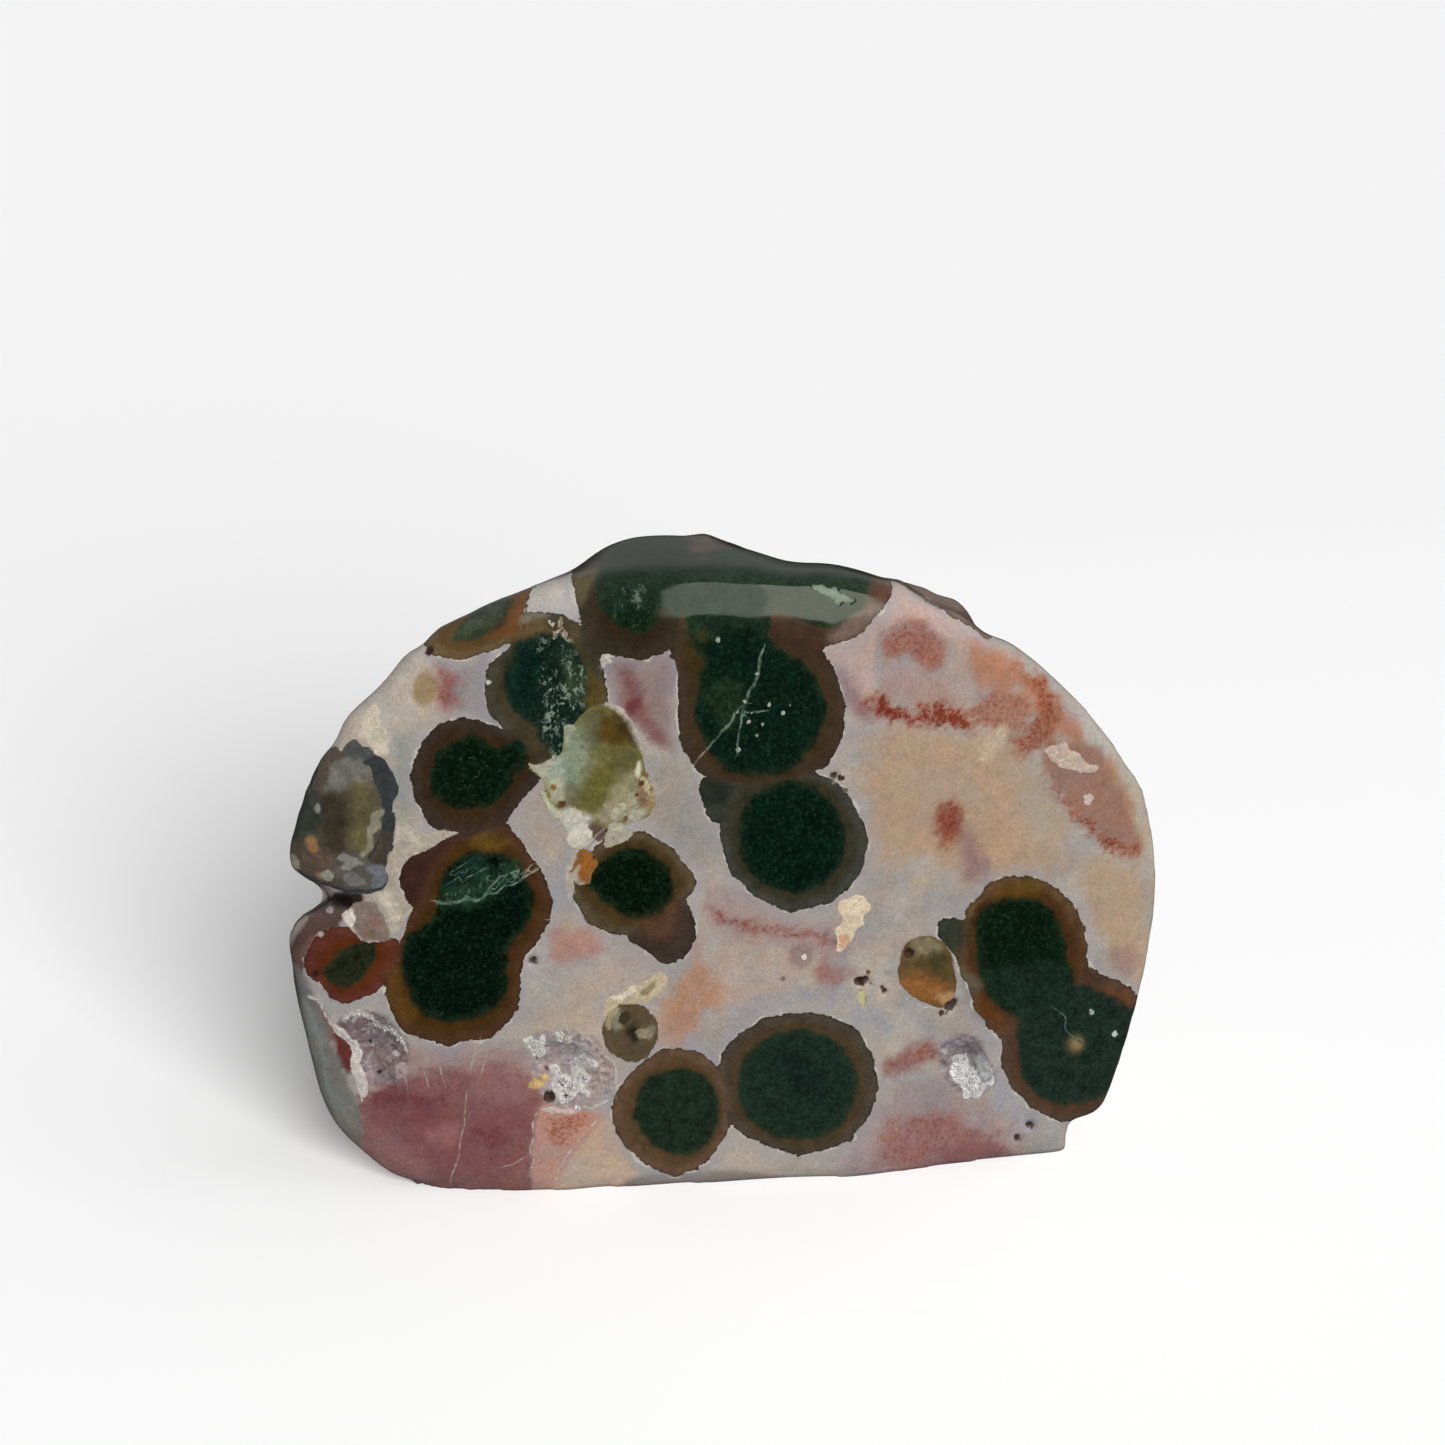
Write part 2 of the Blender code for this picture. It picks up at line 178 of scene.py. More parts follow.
# Ocean jasper's orbs on the photographed side. Each has the outline of its rind and of its
# core, in pixels, its radius as a ball in mm, and the colours of core, inner and outer rind.
ORBS = {
    "upper_left_lens": dict(
        rind=[(425, 648), (437, 656), (456, 661), (476, 656), (489, 652), (504, 646), (521, 636),
              (525, 617), (528, 600), (537, 578), (520, 570), (470, 590), (430, 622)],
        core=[(452, 638), (472, 614), (495, 598), (513, 588), (514, 600), (506, 614), (494, 626),
              (478, 637), (462, 641)],
        ball=5.5, colours=("#374029", "#563e1d", "#625036")),
    "dendrite_orb": dict(
        rind=[(500, 727), (490, 713), (484, 693), (484, 678), (488, 664), (498, 655), (510, 646),
              (523, 633), (524, 616), (542, 612), (558, 614), (571, 620), (584, 626), (595, 650),
              (604, 672), (608, 700), (598, 727), (575, 745), (552, 762), (531, 768), (510, 760)],
        core=[(508, 698), (505, 678), (513, 660), (514, 648), (526, 637), (543, 633), (556, 636),
              (571, 644), (582, 660), (589, 679), (588, 700), (586, 718), (580, 736), (570, 752),
              (556, 758), (544, 746), (538, 731), (525, 719), (513, 709)],
        ball=7.0, colours=("#10221b", "#3f3825", "#423f33")),
    "small_left_orb": dict(
        rind=[(413, 790), (413, 764), (421, 744), (435, 728), (451, 720), (464, 718), (480, 722),
              (500, 727), (520, 735), (548, 748), (545, 765), (538, 782), (526, 795), (515, 811),
              (507, 822), (498, 836), (475, 840), (456, 834), (443, 832), (431, 826), (420, 812)],
        core=[(432, 774), (435, 757), (447, 745), (464, 738), (481, 739), (495, 747), (506, 745),
              (516, 740), (524, 746), (527, 757), (523, 768), (514, 772), (508, 786), (502, 797),
              (487, 806), (468, 808), (451, 806), (437, 799), (431, 788)],
        ball=6.4, colours=("#051709", "#372816", "#382e27")),
    "twin_orbs": dict(
        rind=[(456, 833), (470, 832), (490, 825), (507, 822), (516, 837), (526, 848), (540, 867),
              (549, 888), (552, 908), (546, 929), (534, 949), (525, 958), (522, 976), (520, 1004),
              (507, 1026), (488, 1038), (464, 1042), (440, 1045), (420, 1040), (403, 1031),
              (391, 1014), (384, 995), (386, 977), (398, 963), (399, 945), (405, 925),
              (414, 908), (422, 880), (438, 850)],
        core=[(439, 893), (445, 873), (464, 856), (486, 851), (507, 856), (522, 871), (532, 890),
              (532, 910), (525, 927), (510, 944), (507, 958), (507, 985), (498, 1004),
              (478, 1018), (449, 1021), (425, 1014), (412, 1002), (403, 978), (402, 956),
              (406, 939), (425, 926), (437, 912)],
        ball=9.0, colours=("#03140a", "#432c10", "#4a3220")),
    "maroon_lobe": dict(
        rind=[(400, 875), (404, 863), (414, 854), (426, 850), (444, 837), (456, 831), (452, 850),
              (440, 870), (432, 890), (420, 906), (411, 906), (403, 893)],
        core=None, ball=2.5, colours=("#36201a", "#371f19", "#3b251e")),
    "crowned_orb": dict(
        rind=[(597, 845), (614, 834), (632, 830), (651, 834), (668, 845), (681, 858), (692, 871),
              (697, 884), (690, 896), (676, 910), (655, 925), (630, 934), (606, 933), (590, 923),
              (578, 908), (571, 895), (570, 880), (574, 866), (585, 855)],
        core=[(587, 880), (602, 861), (625, 850), (647, 852), (664, 865), (673, 884), (667, 904),
              (651, 917), (631, 917), (610, 906), (594, 893)],
        ball=6.2, colours=("#061507", "#42331a", "#534734")),
    "crowned_orb_lobe": dict(
        rind=[(684, 896), (690, 910), (696, 924), (695, 941), (686, 958), (670, 963), (652, 958),
              (637, 947), (628, 936), (640, 915), (665, 900)],
        core=None, ball=3.2, colours=("#46362b", "#523926", "#3b302a")),
    "top_left_orb": dict(
        rind=[(560, 545), (569, 565), (570, 577), (574, 590), (578, 607), (583, 624), (584, 640),
              (584, 656), (591, 669), (598, 667), (603, 655), (616, 655), (629, 658), (643, 660),
              (656, 657), (671, 650), (686, 640), (700, 600), (700, 540), (640, 510)],
        core=[(597, 588), (600, 605), (610, 619), (627, 629), (645, 631), (656, 620), (663, 607),
              (690, 610), (720, 600), (735, 560), (700, 500), (620, 510), (604, 552), (597, 570)],
        ball=14.0, colours=("#0e2312", "#2d2214", "#332c1e")),
    "crest_orb": dict(
        rind=[(660, 520), (690, 500), (800, 520), (870, 555), (884, 572), (893, 584), (888, 601),
              (881, 613), (866, 630), (848, 640), (831, 645), (820, 649), (790, 640), (740, 640),
              (690, 650), (660, 600)],
        core=[(650, 520), (680, 500), (800, 530), (860, 565), (871, 578), (867, 592), (858, 611),
              (836, 625), (813, 626), (790, 614), (773, 612), (768, 630), (768, 650), (740, 660),
              (708, 662), (697, 650), (688, 634), (686, 614), (668, 606)],
        ball=14.0, colours=("#18291b", "#483927", "#5c4a3d")),
    "veined_orb": dict(
        rind=[(671, 651), (677, 667), (676, 687), (677, 708), (678, 730), (684, 750), (692, 765),
              (703, 777), (730, 790), (780, 790), (819, 772), (831, 760), (840, 745), (844, 728),
              (845, 708), (842, 691), (835, 674), (829, 661), (820, 648), (800, 632), (760, 620),
              (700, 625)],
        core=[(700, 668), (699, 686), (695, 702), (697, 722), (706, 743), (716, 760), (733, 772),
              (751, 774), (773, 774), (793, 767), (809, 750), (820, 730), (826, 708), (820, 687),
              (807, 667), (788, 654), (770, 647), (740, 645), (712, 652)],
        ball=8.4, colours=("#071c12", "#3b2e1c", "#3f3225")),
    "lower_middle_orb": dict(
        rind=[(705, 812), (712, 821), (719, 825), (720, 839), (724, 856), (731, 873), (742, 886),
              (759, 900), (777, 908), (796, 911), (816, 908), (833, 901), (848, 890), (859, 873),
              (865, 856), (868, 839), (864, 821), (856, 806), (846, 791), (834, 780), (810, 772),
              (780, 776), (740, 778), (715, 790)],
        core=[(740, 839), (742, 817), (754, 796), (776, 785), (798, 784), (820, 791), (835, 808),
              (844, 830), (844, 852), (835, 871), (818, 886), (796, 893), (772, 888), (753, 873),
              (742, 856)],
        ball=7.6, colours=("#051a11", "#343122", "#3d3e37")),
    "grey_lobe": dict(
        rind=[(703, 776), (699, 790), (701, 802), (706, 813), (715, 824), (735, 815), (745, 790),
              (730, 776)],
        core=None, ball=1.8, colours=("#1f2a1e", "#1f281d", "#242b24")),
    "flow_lens": dict(
        rind=[(305, 968), (310, 945), (326, 929), (346, 927), (362, 936), (374, 937), (396, 938),
              (400, 952), (392, 975), (379, 990), (360, 999), (340, 1003), (323, 988)],
        core=[(325, 975), (330, 963), (342, 951), (360, 943), (374, 941), (375, 956), (365, 973),
              (353, 985), (338, 985)],
        ball=4.4, colours=("#222617", "#562a10", "#5a2f25")),
    # its core colour is lightened by a painted reflection haze
    "bottom_left_orb": dict(
        rind=[(612, 1114), (618, 1089), (637, 1066), (662, 1050), (688, 1049), (710, 1058),
              (720, 1071), (729, 1093), (729, 1126), (719, 1144), (703, 1165), (677, 1175),
              (652, 1169), (630, 1151), (617, 1133)],
        core=[(634, 1107), (644, 1082), (673, 1069), (702, 1075), (716, 1096), (715, 1125),
              (702, 1147), (677, 1155), (652, 1144), (637, 1125)],
        ball=6.2, colours=("#1b281c", "#513e27", "#5e4837")),
    # its core colour is lightened by a painted reflection haze
    "bottom_middle_orb": dict(
        rind=[(720, 1078), (723, 1053), (742, 1031), (771, 1016), (808, 1012), (841, 1020),
              (866, 1042), (877, 1075), (873, 1107), (855, 1136), (826, 1151), (793, 1154),
              (761, 1144), (738, 1130), (724, 1105)],
        core=[(742, 1067), (764, 1039), (793, 1031), (822, 1034), (844, 1049), (856, 1078),
              (852, 1107), (830, 1132), (797, 1139), (768, 1133), (746, 1115), (739, 1092)],
        ball=7.6, colours=("#1a2a20", "#473926", "#463e34")),
    "right_orb": dict(
        rind=[(962, 925), (968, 908), (977, 898), (993, 882), (1022, 876), (1051, 885),
              (1073, 903), (1085, 932), (1089, 960), (1085, 990), (1050, 1010), (1020, 1030),
              (986, 1023), (974, 1005), (966, 985), (958, 965), (955, 945)],
        core=[(975, 940), (979, 915), (1000, 900), (1030, 898), (1052, 911), (1063, 933),
              (1067, 958), (1074, 984), (1060, 1010), (1025, 1020), (998, 1004), (983, 982)],
        ball=7.0, colours=("#091b0d", "#452d16", "#5a452d")),
    # its core colour is lightened by a painted reflection haze
    "edge_orb": dict(
        rind=[(1085, 965), (1106, 976), (1128, 986), (1142, 1000), (1150, 1040), (1135, 1095),
              (1106, 1112), (1077, 1122), (1048, 1118), (1023, 1100), (1004, 1075),
              (1000, 1040), (986, 1022), (1000, 1000), (1050, 975)],
        core=[(1074, 985), (1099, 991), (1121, 1001), (1134, 1016), (1134, 1049), (1118, 1080),
              (1099, 1097), (1070, 1104), (1041, 1097), (1022, 1075), (1018, 1042),
              (1021, 1020), (1040, 1000)],
        ball=7.6, colours=("#1b2922", "#4d3726", "#4e3e32")),
    "slate_lobe": dict(
        rind=[(937, 922), (946, 917), (958, 918), (970, 925), (972, 950), (958, 958), (946, 948),
              (937, 938)],
        core=None, ball=1.6, colours=("#2c3227", "#2c3227", "#33372d")),
    "hump_orb": dict(
        rind=[(878, 572), (893, 583), (913, 592), (933, 604), (950, 615), (972, 627), (990, 640),
              (1000, 600), (950, 560), (890, 550)],
        core=None, ball=9.0, colours=("#6f5747", "#7d5d48", "#6e594b")),
}

# Balls of the same kind in the other sides, as centre, rind and core radius in mm, and colours
FAR_ORBS = [
    ((-22.0, 9.5, 42.0), 9.0, 6.2, ("#091c13", "#442d1c", "#3c352c")),
    ((-8.5, 12.5, 30.5), 7.6, 5.0, ("#07190e", "#4c3318", "#463829")),
    ((-30.5, 8.0, 22.0), 6.4, 4.2, ("#17251d", "#4a3a26", "#463e34")),
    ((6.5, 13.0, 15.5), 8.8, 6.4, ("#06150d", "#493418", "#3e3b33")),
    ((17.5, 13.0, 21.5), 6.2, 4.0, ("#0e2117", "#533a24", "#4c3b2f")),
    ((28.0, 10.0, 34.5), 8.6, 6.0, ("#1d2c24", "#4e321a", "#59442b")),
    ((12.0, 11.5, 44.0), 7.0, 4.8, ("#081e10", "#3c3423", "#3b3c36")),
    ((-14.0, 11.5, 9.5), 5.6, 3.4, ("#18251d", "#57412a", "#5a4634")),
    ((33.5, 7.0, 15.0), 6.6, 4.6, ("#091c13", "#442d1c", "#3f3325")),
    ((-1.0, 9.0, 55.5), 8.8, 6.6, ("#132518", "#3a2d19", "#382e20")),
    ((41.0, 1.5, 26.0), 5.6, 3.6, ("#15251a", "#533a24", "#4c3b2f")),
    ((-37.0, 4.5, 38.5), 5.4, 3.4, ("#1c2a20", "#3f3825", "#423f33")),
    ((22.5, 3.0, 54.0), 6.2, 4.0, ("#202e22", "#564338", "#4c3d33")),
    ((-33.0, 8.0, 8.0), 4.4, 2.8, ("#213320", "#5c3422", "#4a331e")),
    ((0.5, 12.8, 47.0), 3.4, 1.8, ("#202e22", "#57412a", "#5a4634")),
    ((-20.0, 12.5, 24.5), 3.0, 1.4, ("#282f20", "#5a3a20", "#4a331e")),
]

# Stains in the chalcedony, laid one over another, as colour, softness of the edge in pixels,
# strength, how thick with iron specks, and outline in pixels. A few are painted shade,
# painted highlight or painted reflection, as marked.
STAINS = [
    ("#b2a89b", 16, 0.9, 0.0, [(345, 720), (400, 650), (440, 630), (425, 700), (400, 740),
        (385, 800), (372, 740)]),
    ("#8b8e84", 10, 0.8, 0.0, [(392, 740), (412, 732), (412, 790), (415, 822), (396, 822)]),
    ("#b2aca5", 2.5, 0.9, 0.0, [(520, 618), (527, 600), (536, 575), (575, 560), (568, 585),
        (577, 604), (586, 630), (560, 616), (540, 612)]),
    ("#837e82", 8, 0.8, 0.0, [(470, 662), (490, 655), (486, 690), (498, 725), (470, 716),
        (452, 716), (450, 672)]),
    ("#875650", 9, 0.85, 0.35, [(436, 668), (452, 670), (460, 690), (452, 712), (438, 712)]),
    ("#927f60", 2.5, 0.95, 0.0, [(414, 684), (420, 673), (430, 672), (437, 684), (434, 700),
        (424, 706), (414, 698)]),
    ("#a1978c", 3, 0.8, 0.0, [(538, 784), (552, 800), (566, 826), (566, 850), (545, 862),
        (525, 842), (516, 820)]),
    ("#a77f71", 10, 0.9, 0.1, [(548, 938), (570, 924), (596, 932), (604, 950), (580, 962),
        (555, 960)]),
    ("#ab9c8f", 12, 0.7, 0.0, [(560, 990), (600, 955), (650, 968), (640, 1000), (590, 1030),
        (540, 1020)]),
    ("#806968", 6, 0.75, 0.1, [(606, 660), (625, 653), (668, 653), (679, 668), (676, 700),
        (679, 745), (664, 748), (646, 738), (628, 712), (610, 692)]),
    ("#7b5757", 6, 0.8, 0.3, [(618, 668), (630, 668), (638, 690), (652, 715), (668, 742),
        (652, 742), (632, 716), (620, 692)]),
    ("#673638", 3.5, 0.85, 0.2, [(628, 700), (637, 696), (643, 704), (636, 711), (629, 708)]),
    ("#8e8980", 12, 0.7, 0.0, [(650, 760), (690, 765), (702, 800), (718, 830), (728, 870),
        (700, 865), (668, 838), (652, 800)]),
    ("#9a8482", 10, 0.7, 0.1, [(700, 880), (735, 890), (790, 915), (850, 930), (840, 960),
        (780, 950), (720, 935)]),
    ("#927169", 5, 0.85, 0.5, [(706, 893), (716, 906), (738, 917), (765, 922), (800, 928),
        (838, 936), (836, 944), (796, 938), (760, 931), (732, 926), (712, 914)]),
    ("#ac846a", 8, 0.9, 0.15, [(696, 940), (706, 962), (720, 985), (724, 1003), (702, 1014),
        (690, 1036), (667, 1054), (660, 1022), (680, 985)]),
    ("#ab998c", 14, 0.85, 0.0, [(725, 950), (790, 955), (800, 975), (770, 1005), (735, 1015),
        (722, 980)]),
    ("#896f6e", 3, 0.7, 0.0, [(788, 956), (794, 946), (806, 944), (814, 954), (810, 966),
        (798, 969)]),
    ("#926b67", 8, 0.85, 0.2, [(815, 968), (832, 962), (850, 972), (846, 986), (826, 990)]),
    ("#96959a", 10, 0.8, 0.0, [(735, 1012), (790, 988), (850, 992), (885, 1010), (895, 1040),
        (875, 1035), (850, 1008), (800, 998), (755, 1016)]),
    ("#9b969b", 8, 0.7, 0.0, [(985, 1035), (1000, 1060), (1016, 1100), (1040, 1125), (1010, 1130),
        (985, 1090), (975, 1055)]),
    ("#8b5e58", 8, 0.85, 0.4, [(884, 1062), (905, 1048), (932, 1040), (940, 1054), (915, 1068),
        (890, 1074)]),
    ("#938081", 12, 0.7, 0.1, [(860, 1110), (930, 1085), (990, 1110), (1020, 1150), (940, 1175),
        (850, 1175)]),
    ("#8d6560", 10, 0.85, 0.35, [(880, 1138), (905, 1120), (940, 1112), (970, 1125), (1000, 1142),
        (985, 1158), (930, 1168), (880, 1168)]),
    ("#7d5557", 6, 0.7, 0.2, [(935, 1152), (970, 1140), (1000, 1144), (1004, 1156), (950, 1170)]),
    ("#b2998f", 2.5, 0.95, 0.0, [(820, 649), (845, 640), (866, 629), (884, 609), (892, 583),
        (915, 593), (935, 605), (975, 626), (1000, 655), (960, 650), (945, 640), (920, 622),
        (900, 622), (876, 640), (874, 700), (850, 690), (836, 672)]),
    ("#825f62", 7, 0.8, 0.0, [(830, 662), (842, 668), (858, 688), (872, 704), (866, 716),
        (848, 708)]),
    ("#976557", 8, 0.85, 0.4, [(880, 642), (897, 628), (920, 624), (938, 634), (946, 652),
        (940, 668), (926, 668), (906, 654), (890, 656)]),
    ("#9e857d", 8, 0.8, 0.0, [(884, 660), (910, 664), (945, 680), (958, 700), (920, 704),
        (886, 694)]),
    ("#a99386", 10, 0.8, 0.0, [(950, 640), (972, 640), (976, 668), (968, 695), (952, 690)]),
    ("#a78f77", 18, 0.9, 0.05, [(868, 745), (900, 728), (960, 730), (1000, 735), (1035, 770),
        (1062, 810), (1060, 860), (1030, 885), (985, 885), (935, 860), (885, 860), (868, 800)]),
    ("#a79a89", 10, 0.6, 0.0, [(1005, 760), (1030, 775), (1060, 820), (1062, 860), (1045, 850),
        (1020, 800)]),
    ("#a0715a", 7, 0.85, 0.4, [(965, 705), (985, 692), (1010, 690), (1030, 705), (1020, 730),
        (990, 728), (962, 722)]),
    ("#a5745b", 8, 0.9, 0.1, [(974, 640), (990, 640), (1015, 656), (1045, 680), (1070, 715),
        (1085, 745), (1060, 740), (1040, 715), (1020, 690), (992, 692), (972, 672)]),
    ("#966249", 8, 0.85, 0.5, [(1022, 664), (1044, 678), (1056, 694), (1060, 716), (1052, 736),
        (1040, 752), (1018, 752), (1010, 738), (1032, 720), (1036, 696), (1024, 680)]),
    ("#8a4636", 6, 0.8, 0.8, [(872, 698), (888, 699), (902, 708), (916, 714), (908, 725),
        (890, 720), (874, 714)]),
    ("#955640", 6, 0.8, 0.8, [(918, 710), (940, 704), (958, 710), (972, 720), (964, 733),
        (942, 727), (920, 724)]),
    ("#baa28a", 4, 0.8, 0.0, [(976, 760), (985, 738), (1000, 728), (1010, 732), (1004, 745),
        (990, 762)]),
    ("#844939", 7, 0.9, 0.5, [(938, 808), (948, 800), (960, 808), (964, 826), (956, 842),
        (940, 840), (936, 824)]),
    ("#7f666a", 9, 0.75, 0.0, [(958, 830), (972, 836), (985, 862), (988, 884), (970, 876),
        (958, 856)]),
    ("#8e6d5f", 5, 0.95, 0.1, [(1044, 745), (1070, 742), (1100, 752), (1118, 776), (1132, 802),
        (1144, 834), (1142, 852), (1120, 848), (1092, 830), (1068, 804), (1050, 778)]),
    ("#9a6c58", 7, 0.75, 0.7, [(1050, 776), (1062, 790), (1082, 812), (1104, 830), (1142, 850),
        (1140, 862), (1118, 856), (1092, 838), (1066, 810), (1050, 788)]),
    ("#a38065", 5, 0.7, 0.2, [(1108, 756), (1122, 770), (1136, 800), (1145, 835), (1138, 838),
        (1126, 805), (1112, 780)]),
    ("#a39a88", 4, 0.9, 0.0, [(1105, 730), (1120, 742), (1136, 772), (1150, 830), (1156, 900),
        (1156, 960), (1146, 960), (1146, 900), (1140, 832), (1128, 780), (1112, 750)]),
    ("#aa9277", 10, 0.85, 0.0, [(1080, 872), (1120, 862), (1145, 880), (1146, 950), (1142, 990),
        (1120, 975), (1100, 930)]),
    ("#977d75", 6, 0.8, 0.1, [(1108, 955), (1125, 945), (1138, 958), (1134, 975), (1116, 972)]),
    ("#958080", 12, 0.8, 0.2, [(395, 1060), (440, 1045), (500, 1042), (545, 1060), (552, 1100),
        (540, 1130), (420, 1120), (380, 1095)]),
    ("#7f5553", 9, 0.92, 0.25, [(362, 1096), (380, 1086), (420, 1074), (470, 1066), (515, 1070),
        (540, 1090), (545, 1120), (538, 1150), (536, 1200), (430, 1205), (380, 1185),
        (356, 1150)]),
    ("#77494d", 10, 0.6, 0.3, [(380, 1110), (430, 1108), (470, 1115), (520, 1105), (530, 1150),
        (500, 1178), (430, 1176), (395, 1150)]),
    ("#6b3c42", 10, 0.5, 0.5, [(362, 1100), (400, 1094), (430, 1102), (452, 1112), (430, 1122),
        (380, 1116)]),
    ("#896969", 12, 0.55, 0.3, [(362, 1140), (392, 1134), (420, 1160), (430, 1190), (390, 1186)]),
    ("#96706f", 8, 0.5, 0.4, [(470, 1072), (520, 1068), (540, 1090), (520, 1102), (480, 1098)]),
    ("#7f5657", 10, 0.5, 0.5, [(470, 1120), (520, 1112), (536, 1150), (500, 1170), (470, 1150)]),
    ("#af8a7d", 2, 0.95, 0.15, [(537, 1113), (560, 1108), (600, 1113), (608, 1120), (590, 1136),
        (570, 1160), (552, 1192), (533, 1192)]),
    ("#ad7d6d", 7, 0.8, 0.5, [(546, 1120), (566, 1114), (588, 1118), (582, 1132), (562, 1142),
        (548, 1136)]),
    ("#b39d8a", 2, 0.95, 0.0, [(552, 1192), (570, 1160), (590, 1136), (608, 1118), (618, 1136),
        (626, 1160), (640, 1180), (640, 1200), (560, 1200)]),
    # maroon lip below the cleft, darkened by painted shade from the cleft
    ("#4a3532", 3, 0.95, 0.0, [(288, 985), (291, 948), (302, 925), (318, 906), (336, 897),
        (352, 897), (352, 910), (342, 922), (334, 934), (320, 938), (308, 950), (304, 970),
        (300, 992)]),
    ("#6b5049", 4, 0.85, 0.3, [(290, 985), (294, 950), (306, 938), (316, 936), (312, 950),
        (304, 968), (302, 990)]),
    # painted shadow: the near-black floor of the cleft
    ("#150b0a", 2.5, 0.95, 0.0, [(328, 898), (344, 890), (360, 893), (363, 902), (351, 908),
        (336, 906)]),
    ("#684540", 3, 0.8, 0.0, [(306, 990), (316, 998), (330, 1020), (334, 1040), (326, 1034),
        (314, 1010)]),
    ("#5b211c", 3, 0.95, 0.2, [(332, 1030), (342, 1036), (350, 1044), (353, 1056), (353, 1068),
        (347, 1074), (338, 1060)]),
    # grey-green band on the left side: the stone's grey with a painted reflection of the floor
    ("#6c6b66", 3, 0.95, 0.0, [(290, 965), (306, 978), (328, 1032), (342, 1066), (355, 1100),
        (362, 1124), (360, 1150), (340, 1150), (310, 1080), (290, 1010)]),
    # painted highlight: a pale line along the left edge
    ("#878b83", 5, 0.5, 0.0, [(300, 1000), (307, 1004), (324, 1050), (340, 1095), (350, 1124),
        (342, 1120), (326, 1080), (309, 1035)]),
    ("#6f4045", 7, 0.7, 0.5, [(376, 1098), (392, 1090), (420, 1092), (446, 1100), (430, 1108),
        (398, 1106)]),
    ("#6f4247", 6, 0.55, 0.6, [(470, 1130), (486, 1122), (504, 1128), (500, 1148), (480, 1146)]),
    ("#93696a", 7, 0.6, 0.3, [(430, 1130), (450, 1124), (462, 1134), (452, 1150), (434, 1146)]),
    ("#6f6a5c", 5, 0.7, 0.0, [(960, 974), (974, 978), (984, 1000), (986, 1020), (974, 1014),
        (965, 995)]),
    ("#81756d", 3, 0.9, 0.0, [(620, 1186), (640, 1176), (700, 1171), (760, 1173), (786, 1180),
        (786, 1200), (620, 1205)]),
]

